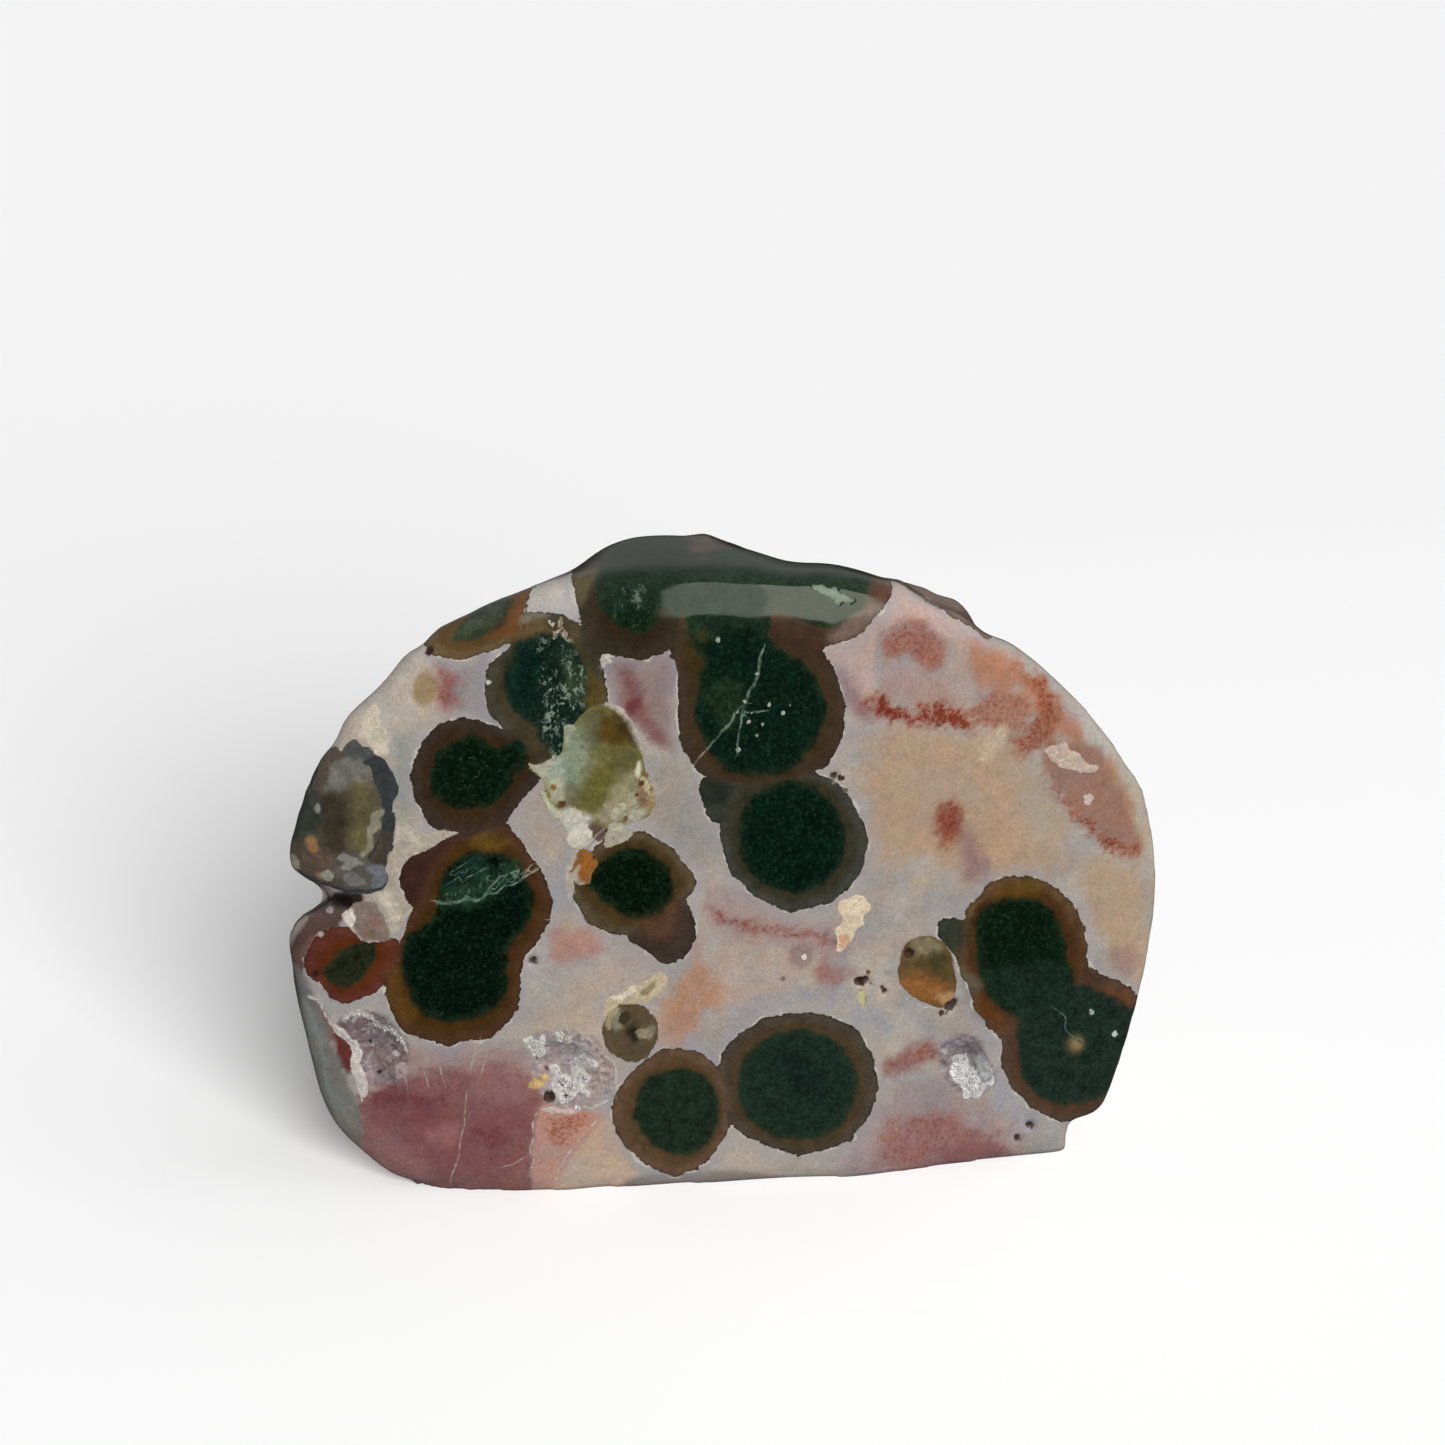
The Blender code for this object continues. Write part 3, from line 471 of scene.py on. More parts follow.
# Chips, crusts and clear crystal bodies that lie across the pattern, with a hard edge, as
# colour and outline in pixels
CRUSTS = [
    ("#bbb19d", [(366, 712), (373, 703), (378, 706), (380, 716), (386, 732), (388, 746), (386, 756),
        (378, 755), (370, 746), (366, 740), (356, 738), (362, 728), (360, 720)]),
    ("#a59c8d", [(394, 834), (398, 822), (410, 826), (426, 833), (438, 830), (452, 831), (456, 834),
        (444, 840), (426, 850), (412, 856), (400, 868), (399, 884), (406, 900), (412, 908),
        (404, 922), (393, 934), (386, 920), (375, 902), (372, 896), (384, 888), (390, 872),
        (388, 858), (394, 846)]),
    ("#7c6d63", [(341, 915), (350, 908), (358, 902), (374, 901), (379, 908), (384, 918), (389, 932),
        (390, 940), (376, 942), (362, 941), (354, 932), (347, 925)]),
    ("#ccba9f", [(838, 903), (846, 899), (858, 895), (866, 899), (872, 908), (864, 916), (864, 925),
        (856, 930), (852, 940), (846, 944), (841, 952), (836, 948), (838, 936), (834, 930),
        (842, 922)]),
    ("#b6a396", [(1044, 750), (1050, 746), (1058, 745), (1064, 743), (1068, 746), (1070, 750),
        (1078, 754), (1084, 760), (1090, 765), (1098, 766), (1096, 771), (1088, 773), (1076, 771),
        (1064, 768), (1054, 762), (1048, 756)]),
    ("#bdaba1", [(1084, 796), (1088, 793), (1093, 796), (1092, 801), (1088, 805), (1085, 801)]),
    ("#b5a689", [(603, 1012), (604, 1004), (611, 996), (622, 994), (630, 986), (646, 982),
        (655, 974), (663, 972), (668, 980), (661, 992), (652, 996), (648, 1002), (636, 1004),
        (622, 1004), (614, 1010), (607, 1017)]),
    ("#b89a66", [(528, 1086), (533, 1079), (540, 1077), (546, 1073), (549, 1076), (545, 1082),
        (541, 1087), (533, 1089)]),
    ("#a9a59e", [(602, 655), (607, 655), (612, 660), (618, 662), (606, 664), (602, 668),
        (600, 661)]),
    ("#a39d8f", [(604, 702), (612, 704), (622, 709), (630, 718), (636, 730), (640, 742), (643, 752),
        (639, 750), (634, 739), (628, 727), (620, 716), (610, 709)]),
    ("#83582f", [(572, 866), (574, 858), (577, 851), (584, 848), (591, 852), (597, 864), (592, 874),
        (590, 883), (580, 885), (573, 878)]),
    ("#64715e", [(812, 587), (820, 584), (828, 588), (836, 588), (842, 595), (855, 599), (850, 604),
        (843, 602), (838, 606), (832, 598), (822, 594)]),
    ("#6a6537", [(598, 704), (609, 706), (620, 712), (627, 724), (633, 738), (640, 750), (643, 758),
        (645, 768), (648, 778), (653, 788), (655, 800), (652, 812), (645, 818), (634, 822),
        (622, 826), (606, 829), (590, 822), (578, 827), (570, 832), (562, 824), (553, 810),
        (547, 800), (545, 788), (541, 779), (535, 772), (528, 767), (540, 763), (553, 762),
        (561, 752), (565, 738), (571, 727), (581, 716), (590, 708)]),
    ("#c4bdad", [(568, 836), (572, 828), (579, 822), (585, 821), (589, 828), (594, 834), (591, 841),
        (584, 847), (574, 848), (568, 843)]),
    ("#5c4a40", [(588, 822), (599, 824), (606, 830), (604, 838), (598, 842), (592, 836)]),
    ("#a19a89", [(604, 842), (609, 833), (617, 828), (626, 829), (633, 833), (629, 839), (618, 844),
        (607, 848)]),
    ("#a89f93", [(566, 872), (568, 864), (573, 856), (577, 850), (579, 856), (574, 866), (572, 876),
        (574, 888), (570, 900), (566, 888)]),
    ("#4e473c", [(312, 790), (321, 757), (334, 747), (344, 754), (356, 760), (368, 765), (374, 782),
        (380, 796), (383, 812), (380, 832), (374, 848), (368, 858), (385, 868), (388, 878),
        (378, 888), (340, 888), (318, 880), (300, 872), (285, 860), (285, 820), (305, 780)]),
    ("#474947", [(340, 757), (346, 746), (355, 740), (362, 747), (371, 749), (373, 756), (364, 762),
        (350, 760)]),
    ("#403932", [(383, 832), (395, 834), (391, 846), (388, 856), (386, 868), (378, 866), (371, 859),
        (378, 846)]),
    ("#5a482a", [(904, 948), (912, 939), (926, 936), (940, 940), (950, 952), (956, 972), (955, 994),
        (944, 1008), (928, 1004), (912, 996), (901, 984), (898, 968)]),
    ("#564834", [(602, 1032), (606, 1018), (614, 1008), (626, 1003), (642, 1005), (652, 1014),
        (658, 1026), (657, 1042), (648, 1056), (634, 1062), (617, 1057), (606, 1046)]),
    ("#b9b2ac", [(333, 1024), (342, 1028), (350, 1036), (359, 1044), (362, 1054), (361, 1066),
        (367, 1078), (368, 1094), (361, 1096), (357, 1084), (352, 1074), (350, 1062), (352, 1050),
        (345, 1040), (336, 1034)]),
    ("#aaa39f", [(342, 1020), (348, 1013), (359, 1010), (370, 1014), (380, 1022), (393, 1027),
        (402, 1036), (408, 1049), (404, 1050), (398, 1040), (390, 1032), (378, 1028), (368, 1020),
        (358, 1016), (350, 1018), (346, 1024)]),
    ("#958084", [(366, 1072), (371, 1070), (375, 1076), (374, 1084), (368, 1085), (365, 1078)]),
    ("#857576", [(384, 1052), (390, 1048), (396, 1050), (394, 1058), (387, 1061)]),
    ("#9f8b8c", [(394, 1066), (401, 1062), (408, 1064), (407, 1073), (400, 1079), (396, 1074)]),
    ("#c9c5be", [(525, 1040), (531, 1037), (537, 1040), (542, 1035), (546, 1040), (544, 1046),
        (547, 1053), (539, 1057), (533, 1055), (528, 1048)]),
    ("#b2a49a", [(554, 1032), (562, 1030), (567, 1035), (573, 1037), (570, 1043), (563, 1042),
        (557, 1040)]),
    ("#c4beb9", [(550, 1066), (557, 1064), (562, 1072), (567, 1075), (573, 1077), (571, 1069),
        (570, 1063), (575, 1058), (582, 1053), (589, 1058), (595, 1061), (599, 1066), (591, 1067),
        (586, 1072), (592, 1077), (589, 1082), (584, 1087), (591, 1093), (587, 1096), (579, 1093),
        (575, 1096), (570, 1103), (562, 1104), (557, 1096), (552, 1087), (552, 1077)]),
    ("#bda79f", [(541, 1110), (552, 1107), (564, 1109), (576, 1105), (584, 1110), (572, 1114),
        (556, 1113)]),
    ("#cfccca", [(953, 1056), (958, 1055), (966, 1055), (969, 1062), (973, 1068), (977, 1072),
        (979, 1078), (984, 1082), (990, 1079), (993, 1074), (994, 1080), (992, 1085),
        (985, 1089), (982, 1094), (977, 1098), (971, 1096), (964, 1098), (963, 1090),
        (957, 1083), (952, 1076), (951, 1066)]),
    ("#868786", [(967, 1056), (980, 1055), (987, 1060), (992, 1068), (993, 1073), (989, 1078),
        (984, 1081), (979, 1077), (977, 1071), (972, 1066)]),
    ("#7c7172", [(577, 1078), (583, 1078), (584, 1085), (578, 1087)]),
    ("#7a6e6f", [(578, 1066), (585, 1064), (588, 1069), (581, 1072)]),
]

# Soft colours inside those bodies: colour, softness in pixels, strength, and outline
CRUST_TINTS = [
    ("#7f8a74", 10, 0.9, [(532, 768), (546, 762), (560, 750), (566, 734), (574, 726), (584, 730),
        (590, 746), (592, 764), (584, 784), (568, 800), (552, 796), (544, 780)]),
    ("#53563e", 9, 0.7, [(583, 712), (598, 706), (602, 730), (598, 750), (588, 740), (578, 726)]),
    ("#9aa192", 5, 0.7, [(536, 768), (550, 764), (560, 752), (568, 756), (566, 776), (556, 790),
        (546, 782)]),
    ("#4f3b0e", 9, 0.95, [(598, 712), (614, 710), (627, 726), (634, 742), (624, 750), (608, 744),
        (598, 730)]),
    ("#33260c", 5, 0.8, [(612, 708), (622, 714), (632, 732), (636, 748), (628, 744), (620, 728)]),
    ("#553c08", 5, 0.7, [(602, 720), (612, 720), (614, 734), (604, 736)]),
    ("#565330", 9, 0.8, [(614, 750), (638, 750), (642, 764), (630, 774), (612, 770)]),
    ("#635e2a", 10, 0.9, [(588, 770), (606, 764), (614, 780), (606, 804), (590, 808), (582, 790)]),
    ("#8f8a6b", 7, 0.85, [(622, 774), (640, 772), (642, 790), (634, 808), (620, 812), (612, 798)]),
    ("#978e74", 4, 0.8, [(604, 808), (616, 798), (624, 802), (634, 794), (630, 808), (620, 820),
        (606, 822), (594, 816)]),
    ("#b9b5aa", 5, 0.9, [(552, 814), (566, 808), (578, 810), (588, 816), (584, 824), (570, 832),
        (560, 824)]),
    ("#a9a78c", 5, 0.8, [(546, 784), (556, 778), (568, 788), (568, 800), (556, 804), (548, 798)]),
    ("#645e45", 4, 0.8, [(566, 786), (576, 788), (580, 798), (572, 806), (564, 798)]),
    ("#cfc9aa", 1.5, 0.95, [(638, 764), (642, 763), (644, 770), (642, 775), (638, 773)]),
    ("#a08560", 4, 0.8, [(648, 782), (653, 784), (657, 798), (654, 812), (648, 816), (648, 800)]),
    ("#8c6a57", 3, 0.75, [(641, 786), (647, 782), (650, 798), (645, 808), (640, 800)]),
    ("#a9a798", 3, 0.7, [(632, 812), (646, 806), (650, 816), (636, 824), (622, 826)]),
    ("#91591e", 3, 0.9, [(580, 856), (590, 853), (595, 866), (588, 876), (579, 872)]),
    ("#b3afa2", 2, 0.85, [(573, 872), (578, 866), (580, 878), (584, 886), (578, 888)]),
    ("#4f443b", 3, 0.95, [(310, 792), (320, 756), (336, 747), (344, 754), (334, 768), (324, 784),
        (318, 800)]),
    ("#706f67", 6, 0.85, [(336, 768), (348, 760), (366, 764), (370, 780), (352, 786), (334, 788),
        (326, 788)]),
    ("#5d5737", 9, 0.85, [(350, 784), (370, 786), (378, 804), (380, 820), (370, 830), (356, 828),
        (348, 808)]),
    ("#372f20", 10, 0.9, [(320, 796), (342, 794), (348, 812), (346, 836), (342, 852), (328, 850),
        (316, 832)]),
    ("#68613a", 8, 0.8, [(352, 830), (366, 830), (373, 842), (367, 855), (356, 856), (349, 844)]),
    ("#2f372f", 7, 0.9, [(298, 790), (314, 788), (320, 804), (318, 830), (306, 838), (292, 826)]),
    ("#8d8f80", 1.5, 0.9, [(313, 804), (316, 802), (317, 808), (314, 812)]),
    ("#5a493c", 6, 0.85, [(296, 852), (324, 850), (338, 860), (332, 874), (312, 872)]),
    ("#85623f", 2, 0.95, [(305, 841), (309, 838), (314, 843), (315, 851), (310, 853), (306, 848)]),
    ("#57544e", 5, 0.85, [(338, 862), (350, 854), (362, 860), (374, 866), (386, 872), (388, 884),
        (372, 892), (352, 888), (340, 878)]),
    ("#8f8b7a", 2, 0.8, [(289, 852), (294, 854), (298, 866), (292, 866)]),
    ("#8a6c52", 2, 0.85, [(316, 874), (324, 872), (328, 880), (320, 880)]),
    ("#8a5a2e", 8, 0.9, [(902, 980), (914, 972), (936, 976), (950, 990), (940, 1006), (914, 998)]),
    ("#8a8266", 5, 0.7, [(910, 942), (926, 938), (938, 944), (936, 956), (916, 954)]),
    ("#3f3a20", 6, 0.7, [(928, 952), (944, 956), (950, 974), (940, 982), (928, 970)]),
    ("#b08c62", 3, 0.7, [(936, 998), (950, 992), (956, 998), (946, 1008)]),
    ("#8b8672", 3, 0.7, [(612, 1012), (620, 1010), (622, 1020), (616, 1030), (610, 1026)]),
    ("#8f8a70", 3, 0.6, [(642, 1030), (650, 1024), (654, 1036), (646, 1042)]),
    ("#1d2317", 5, 0.9, [(622, 1034), (630, 1024), (639, 1034), (632, 1044)]),
    ("#b6a58f", 2, 0.7, [(1056, 748), (1068, 748), (1074, 756), (1066, 762), (1056, 758)]),
    ("#c7bdb0", 2, 0.8, [(342, 915), (352, 908), (352, 916), (350, 924), (356, 934), (350, 930),
        (344, 922)]),
    ("#766244", 2.5, 0.8, [(362, 932), (370, 930), (374, 936), (368, 940), (362, 938)]),
    ("#8c6a5a", 3, 0.6, [(366, 916), (380, 916), (386, 930), (372, 928)]),
    ("#a0a1a2", 2, 0.85, [(974, 1059), (984, 1057), (990, 1063), (994, 1071), (990, 1079),
        (984, 1079), (980, 1072), (976, 1066)]),
]

# Soft colours over the orbs: colour, softness in pixels, strength, and outline
ORB_TINTS = [
    ("#5a4638", 5, 0.9, [(688, 534), (700, 532), (716, 533), (730, 546), (716, 549), (704, 556),
        (694, 550)]),
    ("#3a3022", 4, 0.8, [(583, 622), (591, 620), (594, 634), (591, 646), (585, 642)]),
    ("#5c5239", 5, 0.8, [(570, 592), (577, 572), (590, 556), (597, 570), (590, 590), (582, 606)]),
    ("#434015", 5, 0.6, [(694, 630), (704, 628), (712, 636), (700, 642)]),
    ("#3a3012", 7, 0.7, [(682, 640), (694, 640), (702, 660), (694, 676), (684, 664)]),
    ("#24371f", 8, 0.5, [(704, 690), (730, 680), (744, 700), (730, 724), (708, 716)]),
    ("#3a2419", 7, 0.8, [(772, 622), (790, 614), (812, 626), (830, 642), (828, 660), (808, 652),
        (788, 640)]),
    ("#705c51", 5, 0.85, [(826, 640), (836, 628), (858, 612), (872, 600), (884, 596), (880, 612),
        (862, 630), (844, 640)]),
    ("#4e2f20", 3, 0.8, [(872, 588), (882, 586), (892, 590), (888, 600), (878, 602), (870, 596)]),
    ("#213a28", 8, 0.7, [(440, 900), (452, 884), (478, 876), (508, 862), (524, 864), (512, 884),
        (484, 898), (456, 908)]),
    ("#16322a", 8, 0.7, [(446, 890), (464, 864), (488, 858), (480, 876), (458, 886)]),
    ("#06231c", 9, 0.7, [(508, 690), (512, 660), (524, 650), (540, 668), (538, 700), (524, 706)]),
    ("#34422a", 6, 0.7, [(560, 660), (576, 658), (588, 676), (584, 696), (572, 704), (566, 684)]),
    ("#5a4a20", 6, 0.8, [(590, 676), (604, 680), (606, 700), (592, 712), (582, 706)]),
    ("#6b4f1c", 7, 0.7, [(470, 842), (488, 836), (510, 840), (500, 850), (478, 852)]),
    ("#5f4416", 8, 0.6, [(386, 986), (396, 966), (402, 990), (420, 1016), (410, 1024),
        (392, 1006)]),
    ("#63481a", 7, 0.6, [(990, 890), (1020, 882), (1048, 892), (1030, 896), (1004, 898)]),
    ("#452d18", 6, 0.7, [(1074, 912), (1084, 936), (1086, 962), (1076, 960), (1070, 936)]),
    ("#5c361a", 5, 0.85, [(976, 994), (984, 998), (996, 1010), (1010, 1020), (1004, 1030),
        (990, 1020), (980, 1008)]),
    ("#5d5846", 5, 0.8, [(960, 968), (970, 972), (980, 984), (978, 994), (966, 988), (958, 978)]),
    ("#5f3f24", 4, 0.7, [(1104, 984), (1122, 988), (1138, 1000), (1130, 1006), (1112, 996)]),
    ("#3f2a20", 3, 0.7, [(1086, 968), (1104, 976), (1100, 984), (1088, 980)]),
    ("#65401f", 3, 0.8, [(511, 594), (522, 588), (535, 583), (530, 598), (525, 614), (519, 628),
        (508, 636), (494, 641), (493, 634), (504, 622), (509, 606)]),
    ("#3b423c", 5, 0.6, [(466, 618), (480, 604), (497, 595), (511, 590), (507, 603), (494, 614),
        (476, 626)]),
    ("#241d10", 3, 0.6, [(469, 638), (486, 628), (500, 618), (506, 608), (508, 614), (500, 628),
        (484, 638)]),
    ("#644f31", 3, 0.8, [(523, 619), (536, 618), (546, 620), (548, 633), (534, 635), (524, 633)]),
    ("#77705f", 2, 0.75, [(524, 612), (536, 611), (549, 612), (548, 618), (534, 619),
        (524, 620)]),
    ("#52472f", 2, 0.8, [(562, 616), (571, 620), (577, 628), (577, 641), (569, 640), (563, 631)]),
    # painted reflection: a lighter haze over the lower part of the right orb's core
    ("#18281f", 5, 0.8, [(984, 972), (1066, 966), (1072, 1000), (1050, 1012), (1000, 1004)]),
    ("#0f1c1b", 7, 0.65, [(776, 1058), (798, 1050), (820, 1072), (824, 1098), (806, 1104),
        (788, 1090)]),
    ("#3c3f36", 6, 0.7, [(870, 858), (866, 830), (856, 806), (864, 812), (872, 836), (874, 856)]),
]

# Pale crumbs over those tints: colour and outline in pixels
CRUMBS = [
    ("#b3ac9b", [(547, 620), (551, 621), (555, 626), (553, 628), (549, 625)]),
    ("#7d7258", [(553, 629), (556, 631), (557, 637), (554, 639), (553, 634)]),
    ("#796c52", [(560, 616), (563, 616), (562, 624), (566, 632), (570, 638), (577, 641),
        (574, 643), (567, 641), (562, 633), (559, 624)]),
    ("#a3a08a", [(528, 762), (536, 765), (545, 763), (550, 758), (556, 752), (553, 762), (546, 768),
        (549, 774), (542, 777), (537, 773), (532, 770)]),
    ("#aeaa93", [(540, 790), (546, 794), (550, 802), (556, 808), (560, 816), (554, 818), (548, 808),
        (543, 800)]),
    ("#a6a187", [(612, 812), (619, 804), (624, 802), (626, 808), (622, 814), (616, 820),
        (611, 818)]),
    ("#a09b80", [(628, 796), (634, 792), (638, 796), (636, 804), (632, 806), (629, 802)]),
    ("#8f937a", [(563, 728), (568, 724), (574, 725), (576, 730), (571, 733), (570, 740), (566, 744),
        (564, 736)]),
    ("#b3ad7c", [(858, 993), (863, 990), (867, 999), (864, 1008), (859, 1003)]),
    ("#b0a988", [(640, 776), (646, 778), (650, 786), (650, 794), (645, 790), (642, 784)]),
    ("#bfbaab", [(566, 812), (573, 808), (580, 811), (582, 817), (576, 822), (569, 820)]),
    ("#a9a48e", [(608, 826), (616, 822), (624, 824), (622, 829), (613, 831)]),
    ("#7f7c68", [(370, 815), (376, 811), (383, 808), (385, 814), (380, 818), (382, 826), (376, 832),
        (372, 838), (374, 846), (368, 853), (362, 858), (360, 854), (366, 848), (368, 838),
        (366, 830), (370, 824)]),
    ("#7c7b73", [(337, 859), (343, 853), (349, 855), (357, 858), (363, 864), (356, 866), (349, 870),
        (341, 868), (345, 862)]),
    ("#63676a", [(366, 869), (374, 864), (384, 866), (387, 874), (385, 884), (376, 889), (370, 884),
        (374, 876)]),
    ("#6e6a67", [(343, 876), (352, 872), (360, 876), (366, 882), (358, 886), (348, 884)]),
    ("#8d8a80", [(320, 873), (328, 870), (334, 875), (331, 881), (324, 879)]),
    ("#96896c", [(607, 1014), (614, 1008), (620, 1008), (616, 1014), (611, 1020), (610, 1030),
        (606, 1026)]),
    ("#8a8166", [(636, 1031), (643, 1028), (648, 1032), (645, 1038), (638, 1037)]),
    ("#3d3521", [(621, 1013), (628, 1011), (629, 1020), (623, 1026), (619, 1020)]),
    ("#b5a286", [(997, 733), (1003, 730), (1006, 735), (1000, 739)]),
    ("#b3a083", [(989, 742), (995, 740), (994, 747), (988, 749)]),
    ("#b5a286", [(982, 753), (988, 752), (986, 759), (980, 760)]),
    ("#cfc8bb", [(346, 916), (352, 912), (356, 918), (352, 926), (347, 924)]),
    ("#b5ab9b", [(398, 826), (408, 829), (420, 836), (414, 842), (403, 840), (396, 834)]),
    ("#b9ae9d", [(378, 896), (388, 892), (396, 900), (402, 912), (396, 922), (388, 912)]),
    ("#c9bfb1", [(611, 996), (620, 995), (628, 990), (634, 986), (636, 991), (626, 997),
        (616, 1000)]),
    ("#8f7f63", [(640, 992), (650, 984), (656, 980), (654, 988), (646, 995)]),
    ("#d0c0a4", [(846, 903), (858, 899), (866, 905), (860, 914), (850, 914)]),
    ("#c99f80", [(838, 938), (846, 934), (850, 940), (842, 949)]),
]

# Small specks: centre and radius in pixels, and colour. The dark brown specks over the pits at
# (862, 981), (428, 650) and (841, 778) are painted shade in the holes
DOTS = [
    (562, 804, 4.5, "#5c3f22"), (553, 787, 3.5, "#7d6431"), (641, 783, 3.5, "#5b3019"),
    (646, 775, 3.0, "#7c5433"), (645, 800, 3.0, "#6d4a31"), (637, 795, 2.5, "#5f3a22"),
    (626, 818, 3.0, "#6b4c36"), (582, 746, 2.2, "#5d6350"), (573, 796, 4.0, "#6f6b4b"),
    (549, 795, 2.5, "#8a6a3c"), (651, 790, 2.5, "#7a5a2c"), (606, 830, 2.5, "#3f2f28"),
    (614, 838, 1.8, "#6f6456"), (571, 871, 2.2, "#6d5c3a"), (594, 857, 2.0, "#3a2a1e"),
    (718, 640, 2.0, "#7f8f7c"), (769, 705, 1.8, "#9aa593"), (783, 713, 1.5, "#8c9a88"),
    (763, 724, 1.4, "#8c9a88"), (752, 713, 1.5, "#9aa593"), (738, 749, 1.9, "#8a9884"),
    (757, 735, 1.2, "#7c8a78"), (790, 706, 1.2, "#7c8a78"), (804, 957, 2.4, "#c9c0ba"),
    (1092, 1012, 2.4, "#8fa096"), (1115, 1034, 2.6, "#9fb0a5"), (488, 682, 2.8, "#b9b6b0"),
    (600, 668, 2.0, "#4a3326"), (428, 650, 3.5, "#3a2a22"), (749, 722, 1.2, "#7c8a78"),
    (745, 702, 2.0, "#b5bfae"), (750, 697, 1.4, "#a8b5a0"), (757, 674, 1.6, "#9aa794"),
    (737, 712, 1.6, "#a3ae98"), (726, 726, 1.2, "#8c9a88"), (762, 653, 1.4, "#a79a88"),
    (562, 1085, 1.8, "#574c4b"), (566, 1082, 1.5, "#574c4b"), (563, 1091, 1.8, "#5d5250"),
    (567, 1088, 1.5, "#574c4b"), (565, 1095, 1.6, "#5d5250"), (579, 1065, 1.5, "#7b6d6c"),
    (371, 1042, 2.2, "#453b3c"), (379, 1072, 2.4, "#40302f"), (375, 1051, 1.6, "#5d5152"),
    (537, 1058, 2.0, "#4a3a36"), (547, 1068, 2.6, "#5d4a46"), (396, 1053, 3.5, "#bdb4b4"),
    (321, 934, 3.0, "#9c8a86"), (330, 910, 4.0, "#8d7f7d"), (305, 918, 3.2, "#8d7f7d"),
    (862, 981, 4.5, "#3a2218"), (884, 990, 2.6, "#6d4a38"), (868, 972, 2.4, "#6d4a38"),
    (953, 976, 2.0, "#4a3626"), (841, 778, 3.2, "#3a2c22"), (846, 790, 2.4, "#5c4a38"),
]

# The rind of the clear body in the upper left lobe is a slate-coloured arc over this ground
SLATE_ARC = [(300, 790), (322, 750), (342, 752), (346, 745), (355, 739), (362, 746), (372, 748),
             (374, 755), (382, 757), (388, 764), (393, 774), (399, 786), (397, 796), (392, 806),
             (395, 816), (396, 832), (391, 840), (396, 850), (387, 854), (386, 866), (388, 880),
             (380, 892), (345, 892), (300, 875), (280, 860), (280, 810)]

# Crystal-lined hollows: outlines in pixels, and then their colours
DRUSES = [
    [(336, 1026), (348, 1014), (367, 1011), (386, 1017), (399, 1031), (408, 1046), (409, 1064),
     (402, 1080), (386, 1083), (370, 1084), (360, 1070), (354, 1048), (344, 1036)],
    [(526, 1040), (541, 1033), (568, 1031), (592, 1038), (609, 1053), (614, 1075), (609, 1094),
     (592, 1108), (570, 1110), (553, 1106), (540, 1092), (532, 1070)],
    [(939, 1054), (943, 1044), (950, 1037), (960, 1034), (974, 1036), (981, 1042), (983, 1052),
     (989, 1060), (996, 1072), (994, 1084), (985, 1092), (975, 1098), (960, 1093), (950, 1084),
     (943, 1074), (939, 1064)],
]
DRUSE_COLOURS = ("#7a6a6b", "#9f9290", "#887b7e")
# White crusted lines: width and course in pixels
WHITE_LINES = [
    (3, [(309, 995), (318, 1000), (324, 1012), (331, 1024)]),
    (2.5, [(361, 1094), (363, 1102)]),
    (1.6, [(599, 1053), (613, 1061), (616, 1077), (615, 1099)]),
    (1.8, [(537, 1112), (533, 1124), (535, 1136), (531, 1148), (534, 1160), (530, 1172),
        (533, 1188)]),
    (1.5, [(599, 1119), (577, 1141), (566, 1156), (554, 1182)]),
    (1.6, [(516, 820), (524, 842), (540, 858), (552, 866)]),
    (1.4, [(342, 915), (350, 926), (362, 941), (378, 942)]),
    (2.2, [(610, 1100), (590, 1108), (574, 1106)]),
    (1.3, [(899, 986), (908, 999), (924, 1008), (940, 1009)]), (1.2, [(953, 962), (957, 976)]),
    (1.3, [(535, 583), (531, 592), (527, 604), (524, 614)]),
    (1.6, [(571, 571), (569, 580), (573, 600), (579, 616), (584, 625)]),
    (1.2, [(352, 1020), (362, 1015), (374, 1018)]), (1.2, [(408, 1050), (410, 1064), (404, 1078)]),
]

# Dendrites and mossy crystals inside the cores: strength and outline in pixels
MOSS = [
    (1.0, [(538, 676), (548, 664), (566, 654), (584, 664), (588, 684), (582, 706), (566, 730),
        (548, 736), (538, 722), (546, 700)]),
    (0.6, [(526, 640), (552, 638), (566, 650), (548, 664), (532, 656)]),
    (0.5, [(604, 590), (644, 586), (656, 604), (640, 624), (616, 616)]),
    (0.45, [(442, 890), (470, 870), (510, 862), (530, 880), (500, 892), (470, 902), (444, 904)]),
    (0.18, [(444, 770), (460, 748), (490, 752), (506, 760), (494, 790), (462, 796)]),
    (0.12, [(720, 690), (760, 680), (800, 700), (804, 730), (764, 750), (730, 740)]),
    (0.7, [(540, 764), (560, 740), (576, 724), (590, 730), (586, 752), (566, 780), (548, 784)]),
]

